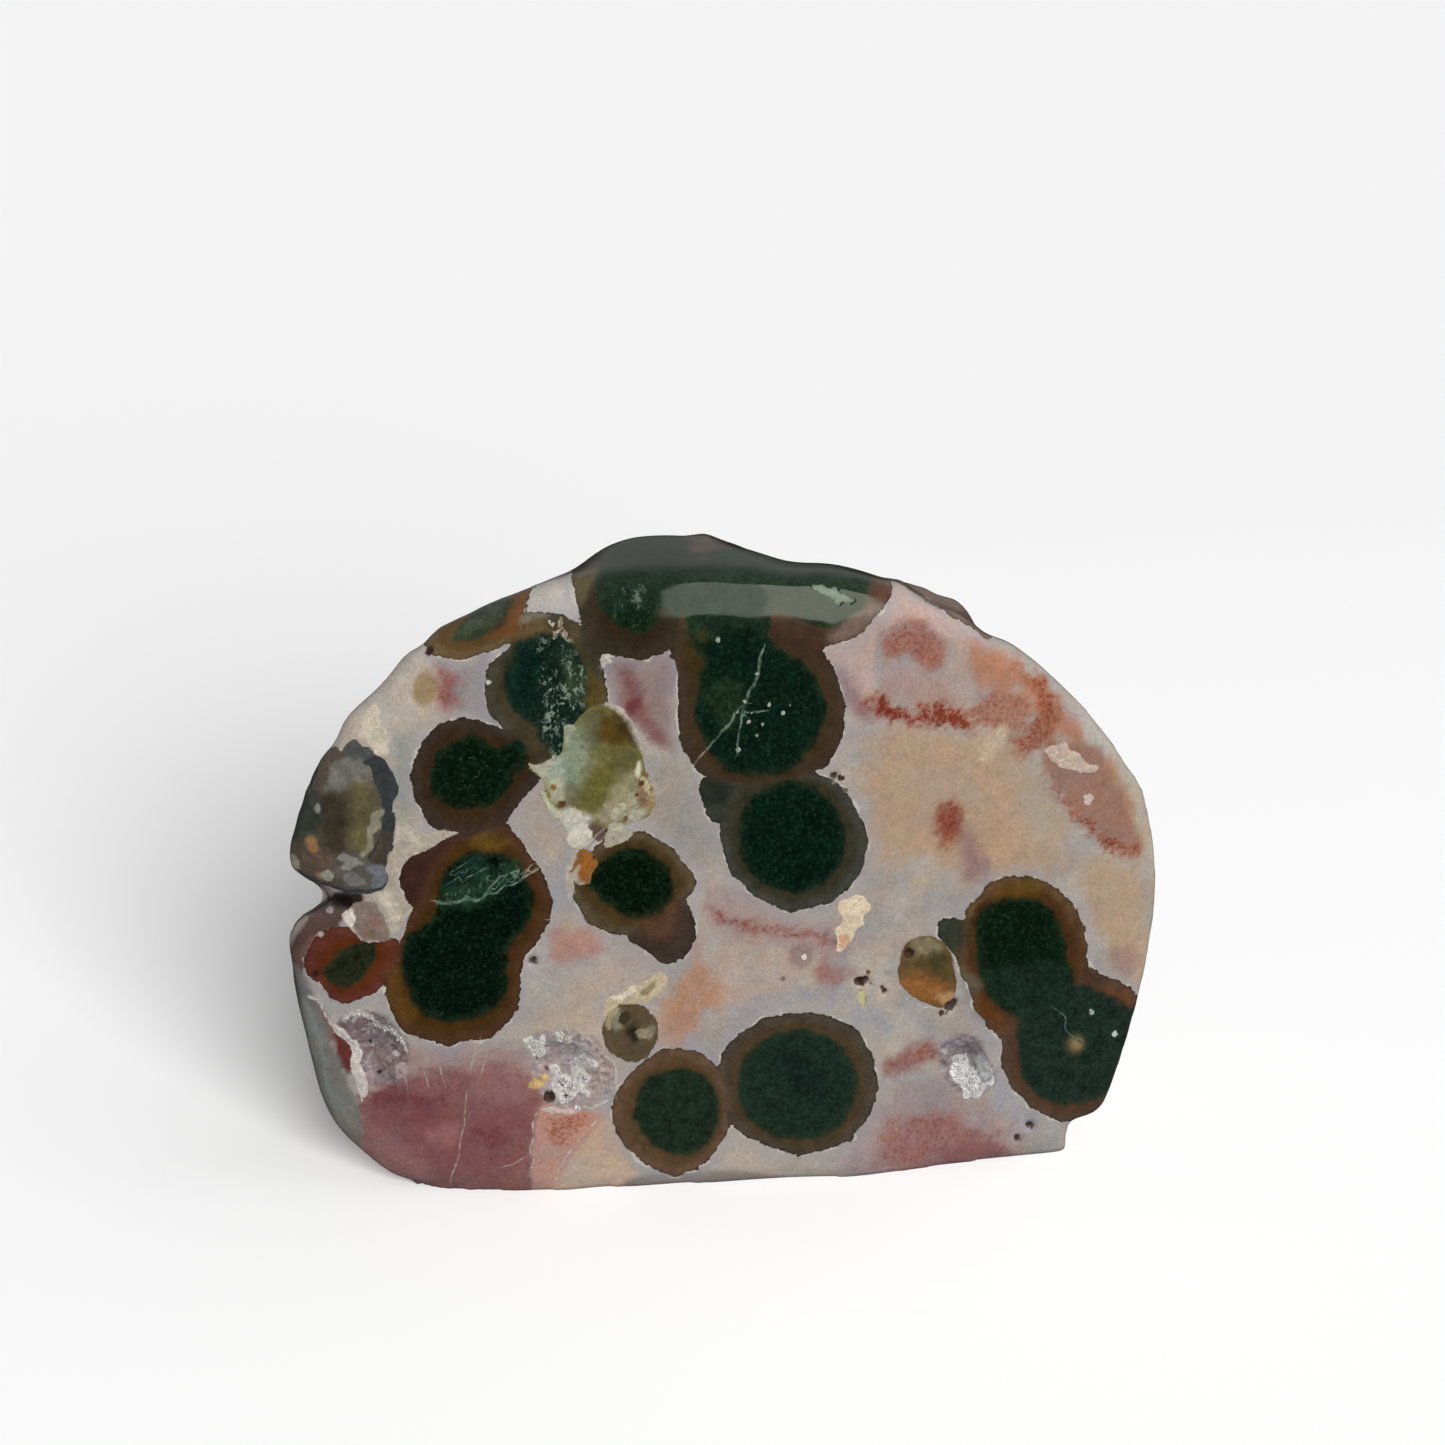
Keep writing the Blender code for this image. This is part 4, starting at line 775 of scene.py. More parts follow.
# Healed cracks as pale veins: half width in mm and course in pixels
VEINS = [
    (0.2, [(437, 902), (448, 904), (460, 902), (467, 897), (474, 900), (484, 898), (487, 893)]),
    (0.13, [(487, 893), (491, 886), (497, 882), (500, 877), (508, 875), (519, 870)]),
    (0.12, [(487, 893), (497, 894), (505, 887), (513, 886), (521, 881), (529, 875), (541, 867)]),
    (0.08, [(541, 867), (556, 861), (572, 854)]), (0.07, [(448, 884), (460, 877)]),
    (0.07, [(466, 880), (486, 868)]), (0.07, [(452, 872), (468, 862)]),
    (0.08, [(505, 887), (510, 880), (520, 876), (531, 866)]),
    (0.13, [(572, 851), (610, 824), (650, 797), (692, 768), (712, 744), (721, 731), (732, 720)]),
    (0.16, [(732, 720), (737, 711), (745, 702), (750, 691), (758, 674), (760, 661), (763, 650)]),
    (0.13, [(745, 702), (741, 720), (739, 734), (738, 751)]),
    (0.1, [(745, 712), (754, 712), (764, 710)]),
    (0.10, [(551, 919), (560, 916), (572, 913)]),
    (0.10, [(467, 1095), (464, 1125), (458, 1155), (451, 1182)]),
    (0.13, [(478, 1042), (474, 1056), (471, 1068)]),
    (0.13, [(486, 1058), (482, 1070)]),
    (0.10, [(404, 1064), (408, 1090)]),
    (0.10, [(424, 1072), (430, 1088)]),
    (0.10, [(441, 1068), (444, 1082)]),
    (0.09, [(500, 1168), (512, 1164), (524, 1158)]),
    (0.08, [(1056, 1008), (1066, 1016), (1066, 1030), (1078, 1040)]),
]

# Open pits as centre and radius in pixels
PITS = [
    (549, 1098, 6), (859, 982, 5), (866, 980, 4.5), (872, 984, 2.5), (882, 988, 2.5), (885, 992, 3),
    (886, 975, 2.5), (889, 978, 2), (950, 1007, 6), (955, 1003, 5), (942, 1014, 3),
    (1030, 1126, 5), (1018, 1138, 4), (533, 961, 5), (783, 980, 2.5), (909, 953, 5),
    (370, 1042, 3), (379, 1071, 3), (560, 1082, 2.5), (570, 1088, 2.5), (567, 1096, 2.5),
    (834, 776, 5), (428, 650, 5), (315, 975, 4),
]

# Stains and chips of the other sides, as centre and radius in mm, and colour
FAR_STAINS = [
    ((-18.0, 10.0, 15.0), 13.0, "#7a4d4c"), ((-36.0, 6.0, 30.0), 8.0, "#a58c8c"),
    ((3.0, 13.0, 38.0), 9.0, "#a58c8c"), ((20.0, 12.0, 33.0), 9.0, "#b1967e"),
    ((34.0, 8.0, 45.0), 9.0, "#b6896d"), ((25.0, 11.0, 10.0), 8.0, "#946257"),
    ((40.0, 0.0, 38.0), 8.0, "#b1967e"), ((-5.0, 12.0, 20.0), 7.0, "#ae8779"),
    ((-10.0, 8.0, 52.0), 7.0, "#b2a89b"), ((41.0, 0.0, 15.0), 6.0, "#a3827f"),
    ((-30.0, 8.0, 32.0), 6.0, "#b2a89b"), ((14.0, 12.0, 6.0), 6.0, "#b8a48e"),
    ((26.0, 6.0, 48.0), 5.0, "#90544a"), ((-40.0, 2.0, 14.0), 6.0, "#727471"),
]
FAR_CHIPS = [
    ((-12.0, 13.5, 38.5), 1.6, "#c8bda9"), ((21.5, 13.5, 28.5), 2.0, "#bdad9c"),
    ((-2.0, 14.5, 23.5), 1.8, "#ccba9f"), ((34.5, 9.5, 24.5), 1.5, "#c2bdb8"),
    ((-25.5, 11.0, 31.0), 1.4, "#b5a689"), ((8.0, 12.0, 53.0), 1.5, "#c2bcac"),
]

# The chalcedony's grey and cream grounds
CHALCEDONY = ("#98928e", "#a99f93")

# How far outlines are looked for, in pixels, and a distance in mm that means nothing is near
MAX_GAP = 40.0
NONE_NEAR = 9.0

# What the skin holds for its material: distances in mm and masks, then colours
MARKS = ("orb", "core", "specks", "crust", "vein", "vein_shown", "white_line", "pit", "druse",
         "moss", "slate")
TONES = ("ground", "core_colour", "rind_inner", "rind_outer", "crust_colour")

# The grains that the stone's pattern is broken up with: name, size in mm, detail, roughness
GRAINS = [
    ("clouds", 5.0, 4.0, 0.5), ("warmth", 3.1, 3.0, 0.5), ("cracks", 4.2, 2.0, 0.45),
    ("breaks", 1.6, 2.0, 0.5), ("feather", 1.5, 5.0, 0.65), ("moss", 1.3, 5.0, 0.7),
    ("mottle", 1.1, 4.0, 0.6), ("wander", 1.0, 2.0, 0.5), ("jags", 1.0, 5.0, 0.75),
    ("fray", 0.7, 3.0, 0.5), ("iron", 0.4, 4.0, 0.7), ("grain", 0.26, 3.0, 0.7),
]

# The kinds of node and the settings that are used most
MATH = "ShaderNodeMath"
VECTOR = "ShaderNodeVectorMath"
RANGE = "ShaderNodeMapRange"
MIX = "ShaderNodeMix"
NOISE = "ShaderNodeTexNoise"
SOFT = {"interpolation_type": "SMOOTHSTEP"}
RGBA = {"data_type": "RGBA"}


def linear(colour):
    """An sRGB hex colour as linear values."""
    parts = [int(colour[i : i + 2], 16) / 255 for i in (1, 3, 5)]
    return [p / 12.92 if p <= 0.04045 else ((p + 0.055) / 1.055) ** 2.4 for p in parts]


def camera_axes():
    """The camera's right, up and back directions."""
    azimuth, elevation = math.radians(CAMERA_AZIMUTH), math.radians(CAMERA_ELEVATION)
    flat = math.cos(elevation)
    back = np.array([math.sin(azimuth) * flat, -math.cos(azimuth) * flat, math.sin(elevation)])
    right = np.array([math.cos(azimuth), math.sin(azimuth), 0.0])
    return right, np.cross(back, right), back


def pixel_ray(pixel):
    """The direction in which the photograph's camera sees a pixel, one unit deep."""
    right, up, back = camera_axes()
    across = (pixel[0] - FRAME_SIDE / 2) / FOCAL_PIXELS
    above = (FRAME_SIDE / 2 - pixel[1]) / FOCAL_PIXELS
    return across * right + above * up - back


def eye():
    """The camera's place, in mm."""
    return np.array(FOOT_MIDDLE) - pixel_ray(FOOT_MIDDLE_PIXEL) * FOOT_DEPTH


def to_pixels(points):
    """Where the photograph shows points given in mm."""
    right, up, back = camera_axes()
    seen = points - eye()
    depth = -(seen @ back)
    across = FOCAL_PIXELS * (seen @ right) / depth
    above = FOCAL_PIXELS * (seen @ up) / depth
    return np.stack([FRAME_SIDE / 2 + across, FRAME_SIDE / 2 - above], 1)


def rounded(loop, steps=4):
    """A smooth closed curve through an outline's points."""
    points = np.array(loop, float)
    before, after = np.roll(points, 1, axis=0), np.roll(points, -1, axis=0)
    beyond = np.roll(points, -2, axis=0)
    bend = 2 * before - 5 * points + 4 * after - beyond
    twist = 3 * points - before - 3 * after + beyond
    curve = []
    for step in range(steps):
        t = step / steps
        curve.append(0.5 * (2 * points + (after - before) * t + bend * t**2 + twist * t**3))
    return np.stack(curve, 1).reshape(-1, 2)


def gap_to_segments(points, starts, ends):
    """Distance from each point to the nearest of some segments, and the side it is on."""
    nearest = np.full(len(points), np.inf)
    side = np.ones(len(points))
    for start, end in zip(starts, ends):
        along = end - start
        reach = points - start
        share = np.clip(reach @ along / max(along @ along, 1e-9), 0, 1)
        gap = ((reach - share[:, None] * along) ** 2).sum(1)
        closer = gap < nearest
        nearest[closer] = gap[closer]
        cross = along[0] * reach[:, 1] - along[1] * reach[:, 0]
        side[closer] = np.where(cross[closer] < 0, -1, 1)
    return np.sqrt(nearest), side


def gap_to_outline(points, loop):
    """Signed distance in pixels from each point to a smooth outline, negative inside."""
    curve = rounded(loop)
    low, high = curve.min(0) - MAX_GAP, curve.max(0) + MAX_GAP
    near = ((points > low) & (points < high)).all(1)
    gap = np.full(len(points), MAX_GAP)
    x, y = points[near].T
    ends = np.roll(curve, -1, axis=0)
    distance, _ = gap_to_segments(points[near], curve, ends)
    inside = np.zeros(len(x), bool)
    for start, end in zip(curve, ends):
        crosses = (start[1] > y) != (end[1] > y)
        rise = end[1] - start[1] if end[1] != start[1] else 1.0
        inside ^= crosses & (x < start[0] + (y - start[1]) * (end[0] - start[0]) / rise)
    gap[near] = np.minimum(distance, MAX_GAP) * np.where(inside, -1, 1)
    return gap


def cloud(points, size, seed, octaves=3):
    """Soft noise between about -1 and 1 at some points, with lumps of a size in mm."""
    offset = Vector((seed * 17.3, seed * 5.1, seed * 9.7))
    return np.array([noise.fractal(Vector(p) / size + offset, 0.8, 2.0, octaves) for p in points])


def smooth_step(value, low, high):
    """0 below low, 1 above high, and a smooth rise between, or the reverse."""
    share = np.clip((value - low) / (high - low), 0, 1)
    return share * share * (3 - 2 * share)


def blend(colours, share, tint):
    """Draws colours towards a tint, each by its own share."""
    colours += share[:, None] * (np.array(linear(tint)) - colours)


def placed(name, data):
    """A new object in the scene."""
    made = bpy.data.objects.new(name, data)
    bpy.context.scene.collection.objects.link(made)
    return made


def mesh_values(mesh):
    """A mesh's corners in mm and its edges."""
    corners = np.zeros(len(mesh.vertices) * 3, np.float32)
    mesh.vertices.foreach_get("co", corners)
    edges = np.zeros(len(mesh.edges) * 2, np.int32)
    mesh.edges.foreach_get("vertices", edges)
    return corners.reshape(-1, 3).astype(float) / MM, edges.reshape(-1, 2)


def set_corners(mesh, corners):
    """Moves a mesh's corners, given in mm."""
    mesh.vertices.foreach_set("co", (corners * MM).astype(np.float32).ravel())
    mesh.update()


def evened(corners, edges, rounds, hold=None):
    """Smooths corners without shrinking the stone, and keeps its foot flat."""
    count = len(corners)
    ends = np.concatenate([edges[:, 0], edges[:, 1]])
    others = np.concatenate([edges[:, 1], edges[:, 0]])
    degree = np.bincount(ends, minlength=count)[:, None]
    loose = np.ones((count, 1)) if hold is None else 1 - hold[:, None]
    foot = corners[:, 2] < BASE_SKIN
    for _ in range(rounds):
        for factor in (SMOOTH_IN, SMOOTH_OUT):
            total = [np.bincount(ends, corners[others, axis], count) for axis in range(3)]
            corners = corners + factor * loose * (np.stack(total, 1) / degree - corners)
            corners[foot, 2] = 0
    return corners


def skin_of(node):
    """The stone's skin as an even, fine mesh, finest on the photographed side."""
    mesh = node.data.copy()
    mesh.materials.clear()
    made = bmesh.new()
    made.from_mesh(mesh)
    bmesh.ops.remove_doubles(made, verts=made.verts, dist=MERGE * MM)
    made.to_mesh(mesh)
    made.free()
    blank = placed("jasper", mesh)
    remesh = blank.modifiers.new("even_grid", "REMESH")
    remesh.mode = "VOXEL"
    remesh.voxel_size = SKIN_GRID * MM
    graph = bpy.context.evaluated_depsgraph_get()
    skin = bpy.data.meshes.new_from_object(blank.evaluated_get(graph))
    blank.modifiers.clear()
    blank.data = skin
    corners, edges = mesh_values(skin)
    pixels = to_pixels(corners)
    corners = evened(corners, edges, SKIN_ROUNDS, SPARED * pocket_hold(corners, pixels))
    for place, reach, shift in NUDGES:
        away = np.linalg.norm(pixels - place, axis=1)
        corners += np.exp(-((away / reach) ** 2))[:, None] * shift
    corners[:, 2] = np.maximum(corners[:, 2], 0)
    set_corners(skin, corners)

    split_where(skin, hidden_by(skin, corners) < SHOWN_DEPTH)
    corners, edges = mesh_values(skin)
    corners = evened(corners, edges, FINE_ROUNDS)
    set_corners(skin, corners)
    split_where(skin, has_small_marks(corners) & (hidden_by(skin, corners) < SHOWN_DEPTH))
    return blank


def split_where(skin, chosen):
    """Halves the skin's edges between chosen corners."""
    made = bmesh.new()
    made.from_mesh(skin)
    made.verts.ensure_lookup_table()
    split = [edge for edge in made.edges if all(chosen[v.index] for v in edge.verts)]
    bmesh.ops.subdivide_edges(made, edges=split, cuts=1, use_grid_fill=True)
    bmesh.ops.triangulate(made, faces=[face for face in made.faces if len(face.verts) > 4])
    made.to_mesh(skin)
    made.free()


def has_small_marks(corners):
    """Where the crusts, druses and specks need the finest skin, and a few pixels round them."""
    pixels = to_pixels(corners)
    small = np.zeros(len(corners), bool)
    for outline in [outline for _, outline in CRUSTS] + DRUSES:
        low, high = np.min(outline, 0) - FINE_MARGIN, np.max(outline, 0) + FINE_MARGIN
        near = ((pixels > low) & (pixels < high)).all(1)
        small[near] |= gap_to_outline(pixels[near], outline) < FINE_MARGIN
    for x, y, radius, _ in DOTS:
        small |= np.linalg.norm(pixels - (x, y), axis=1) < radius + SPECK_MARGIN
    return small


def pocket_hold(corners, pixels):
    """Where the stone is spared smoothing: the cleft, and the druse pockets in front."""
    front = corners[:, 1] < 0
    hold = smooth_step(gap_to_outline(pixels, CLEFT), *SPARED_GAPS)
    for outline in DRUSES:
        gap = gap_to_outline(pixels, outline)
        hold = np.maximum(hold, front * smooth_step(gap, *SPARED_GAPS))
    return hold


def hidden_by(mesh, corners):
    """How far each corner lies behind what the photograph's camera sees, in mm."""
    polygons = [polygon.vertices[:] for polygon in mesh.polygons]
    tree = BVHTree.FromPolygons([Vector(c) for c in corners], polygons)
    start = Vector(eye())
    behind = np.zeros(len(corners))
    for index, corner in enumerate(corners):
        ray = Vector(corner) - start
        length = ray.length
        spot = tree.ray_cast(start, ray / length, length)[0]
        if spot is not None:
            behind[index] = max(0.0, length - (spot - start).length - 0.05)
    return behind


def ball_depth(behind, radius):
    """How much a ball's outline has drawn in, at a depth behind the photographed side."""
    inside = np.sqrt(np.maximum(radius**2 - behind**2, 0))
    return np.where(behind < radius, radius - inside, behind)


class Marks:
    """The distances, masks and colours that the stone's skin holds at each corner."""

    def __init__(self, corners, behind):
        self.corners = corners
        self.behind = behind
        warp = np.stack([cloud(corners, 2.6, 1), cloud(corners, 2.6, 2)], 1)
        self.pixels = to_pixels(corners)
        self.loose_pixels = self.pixels + warp * WARP
        self.bent_pixels = 0.35 * self.loose_pixels + 0.65 * self.pixels
        self.near = np.exp(-((behind / FADE_DEPTH) ** 2))
        self.values = {}
        self.colours = {}
        for step in (self.orbs, self.ground, self.crusts, self.lines, self.spots):
            step()

    def nothing(self):
        """A distance for each corner that means nothing is near."""
        return np.full(len(self.corners), NONE_NEAR)

    def outline_gap(self, outline):
        """Signed distance in mm to an outline on the photographed side."""
        return gap_to_outline(self.pixels, outline) / PIXELS_PER_MM

    def dot_gap(self, x, y, radius):
        """Signed distance in mm to a round mark on the photographed side."""
        away = np.linalg.norm(self.pixels - (x, y), axis=1)
        return (away - radius) / PIXELS_PER_MM + self.behind

    def course_gap(self, course):
        """Distance in pixels to a line on the photographed side, and the side it is on."""
        course = np.array(course, float)
        return gap_to_segments(self.bent_pixels, course[:-1], course[1:])

    def druse_share(self, outline):
        """How much of each corner lies in a druse hollow, from 0 to 1."""
        return smooth_step(gap_to_outline(self.pixels, outline), 3, -3) * self.near

    def orbs(self):
        """Distances to the orbs' rinds and cores, and their colours."""
        rind, core = self.nothing(), self.nothing()
        weights = np.zeros(len(self.corners))
        tones = [np.zeros((len(self.corners), 3)) for _ in range(3)]

        def grow(rind_gap, core_gap, colours):
            nonlocal weights
            np.minimum(rind, rind_gap, out=rind)
            if core_gap is not None:
                np.minimum(core, core_gap, out=core)
            weight = np.exp(-np.clip(rind_gap, -4, 4) / 0.45)
            weights = weights + weight
            for layer, colour in zip(tones, colours):
                layer += weight[:, None] * np.array(linear(colour))

        for orb in ORBS.values():
            sunk = ball_depth(self.behind, orb["ball"])
            core_gap = self.outline_gap(orb["core"]) + sunk if orb["core"] else None
            grow(self.outline_gap(orb["rind"]) + sunk, core_gap, orb["colours"])
        warp = cloud(self.corners, 5.0, 3) * 0.7
        shown = NONE_NEAR * self.near
        for centre, rind_radius, core_radius, colours in FAR_ORBS:
            away = np.linalg.norm(self.corners - centre, axis=1) + warp
            grow(away - rind_radius + shown, away - core_radius + shown, colours)
        self.values["orb"], self.values["core"] = rind, core
        tones = [layer / weights[:, None] for layer in tones]
        lumps = cloud(self.corners, 1.6, 10)
        for tint, soft, strength, outline in ORB_TINTS:
            gap = gap_to_outline(self.loose_pixels, outline)
            share = smooth_step(gap + lumps * soft * 0.8, soft, -soft) * strength * self.near
            for layer in tones:
                blend(layer, share, tint)
        self.colours.update(zip(("core_colour", "rind_inner", "rind_outer"), tones))

    def ground(self):
        """The chalcedony's colour with its stains, and how thick its iron specks are."""
        base = smooth_step(cloud(self.corners, 9.0, 4), -0.5, 0.5)[:, None]
        grey, cream = (np.array(linear(colour)) for colour in CHALCEDONY)
        colour = grey + (cream - grey) * base
        specks = np.zeros(len(self.corners))
        lumps = cloud(self.corners, 1.6, 5) * 0.9
        grit = cloud(self.corners, 0.55, 11, 4)
        for tint, soft, strength, iron, outline in STAINS:
            gap = gap_to_outline(self.loose_pixels if soft > 3 else self.pixels, outline)
            gap = gap + lumps * soft * 0.8 + grit * iron * 8
            share = smooth_step(gap, soft, -soft) * strength * self.near
            blend(colour, share, tint)
            specks = np.maximum(specks * (1 - share), iron * share)
        far = 1 - self.near
        for centre, radius, tint in FAR_STAINS:
            away = np.linalg.norm(self.corners - centre, axis=1) + lumps * 2.5
            share = smooth_step(away, radius, radius * 0.55) * far * 0.9
            blend(colour, share, tint)
            specks = np.maximum(specks, 0.35 * share)
        for druse, tint in zip(DRUSES, DRUSE_COLOURS):
            share = self.druse_share(druse)
            blend(colour, share, tint)
            specks *= 1 - share
        self.colours["ground"] = colour
        self.values["specks"] = specks

    def crusts(self):
        """Distance to the chips, crusts and clear bodies, and their colours."""
        gap = self.nothing()
        colour = np.tile(np.array(linear(CRUSTS[0][0])), (len(self.corners), 1))

        def lay(own, over, tint):
            np.minimum(gap, own, out=gap)
            colour[over] = linear(tint)

        for tint, outline in CRUSTS:
            own = self.outline_gap(outline) + ball_depth(self.behind, CRUST_BALL)
            lay(own, own < gap, tint)
        far = NONE_NEAR * self.near
        warp = cloud(self.corners, 1.2, 6)
        for centre, radius, tint in FAR_CHIPS:
            own = np.linalg.norm(self.corners - centre, axis=1) - radius + warp + far
            lay(own, own < gap, tint)
        lumps = cloud(self.corners, 1.2, 7)
        for tint, soft, strength, outline in CRUST_TINTS:
            own = gap_to_outline(self.loose_pixels, outline)
            share = smooth_step(own + lumps * soft * 0.6, soft, -soft) * strength * self.near
            blend(colour, share, tint)
        for tint, outline in CRUMBS:
            own = self.outline_gap(outline) + self.behind
            lay(own, own < 0, tint)
        for x, y, radius, tint in DOTS:
            own = self.dot_gap(x, y, radius)
            lay(own, own < np.maximum(-0.05, np.minimum(gap, 0.05)), tint)
        self.values["crust"] = gap
        self.colours["crust_colour"] = colour

    def lines(self):
        """Signed distance to the nearest vein, where that shows, and distance to white lines."""
        nearest, signed, white = self.nothing(), self.nothing(), self.nothing()
        for width, course in VEINS:
            gap, side = self.course_gap(course)
            gap = gap / PIXELS_PER_MM + self.behind
            closer = gap < nearest
            nearest[closer] = gap[closer]
            signed[closer] = (gap * side)[closer] * VEIN_HALF_WIDTH / width
        self.values["vein"] = np.clip(signed, -2, 2)
        self.values["vein_shown"] = smooth_step(nearest, 0.9, 0.5)
        for width, course in WHITE_LINES:
            gap, _ = self.course_gap(course)
            white = np.minimum(white, (gap - width / 2) / PIXELS_PER_MM + self.behind)
        self.values["white_line"] = white

    def spots(self):
        """Distances to the pits, and masks of the druse hollows and the mossy crystals."""
        pit = self.nothing()
        for x, y, radius in PITS:
            pit = np.minimum(pit, self.dot_gap(x, y, radius))
        druse, moss = np.zeros(len(self.corners)), np.zeros(len(self.corners))
        for outline in DRUSES:
            druse = np.maximum(druse, self.druse_share(outline))
        for strength, outline in MOSS:
            gap = gap_to_outline(self.loose_pixels, outline)
            moss = np.maximum(moss, smooth_step(gap, 10, -8) * self.near * strength)
        hidden = smooth_step(cloud(self.corners, 6.0, 8), 0.1, 0.6) * (1 - self.near)
        self.values["pit"] = pit
        self.values["druse"] = druse
        self.values["moss"] = np.maximum(moss, 0.6 * hidden)
        self.values["slate"] = self.outline_gap(SLATE_ARC) + ball_depth(self.behind, SLATE_BALL)

    def write(self, mesh):
        """Stores all of it on a mesh."""
        for name, values in self.values.items():
            layer = mesh.attributes.new(name, "FLOAT", "POINT")
            layer.data.foreach_set("value", values.astype(np.float32))
        for name, colour in self.colours.items():
            layer = mesh.attributes.new(name, "FLOAT_COLOR", "POINT")
            rgba = np.concatenate([colour, np.ones((len(colour), 1))], 1)
            layer.data.foreach_set("color", np.clip(rgba, 0, 1).astype(np.float32).ravel())


def carved(mesh, corners, marks):
    """Sinks the pits, roughens the druse hollows and raises the white lines and crusts."""
    normals = np.zeros(len(corners) * 3, np.float32)
    mesh.vertices.foreach_get("normal", normals)
    depth = PIT_DEPTH * smooth_step(marks.values["pit"], 0.15, -0.35)
    grain = np.abs(cloud(corners, 0.9, 9))
    depth = depth + marks.values["druse"] * (DRUSE_GRAIN * grain - DRUSE_RISE)
    for name, rise in RISES.items():
        depth = depth - rise * smooth_step(marks.values[name], 0.1, -0.2)
    corners = corners - depth[:, None] * normals.reshape(-1, 3)
    low, high = (np.array(corner) / MM for corner in cad_box)
    return np.clip(corners, low, high)


def add(tree, kind, inputs=None, **settings):
    """Adds one node with its settings, its input values and its links."""
    node = tree.nodes.new(kind)
    for name, value in settings.items():
        setattr(node, name, value)
    for name, value in (inputs or {}).items():
        if isinstance(value, bpy.types.Node):
            value = value.outputs[2 if value.bl_idname == MIX and value.data_type == "RGBA" else 0]
        if isinstance(value, bpy.types.NodeSocket):
            tree.links.new(value, node.inputs[name])
        else:
            node.inputs[name].default_value = value
    return node


def tone(colour):
    """An sRGB hex colour as a shader's linear value."""
    return (*linear(colour), 1.0)


def bare_tree(owner):
    """The node tree of a new material or world, emptied."""
    owner.use_nodes = True
    owner.node_tree.nodes.clear()
    return owner.node_tree


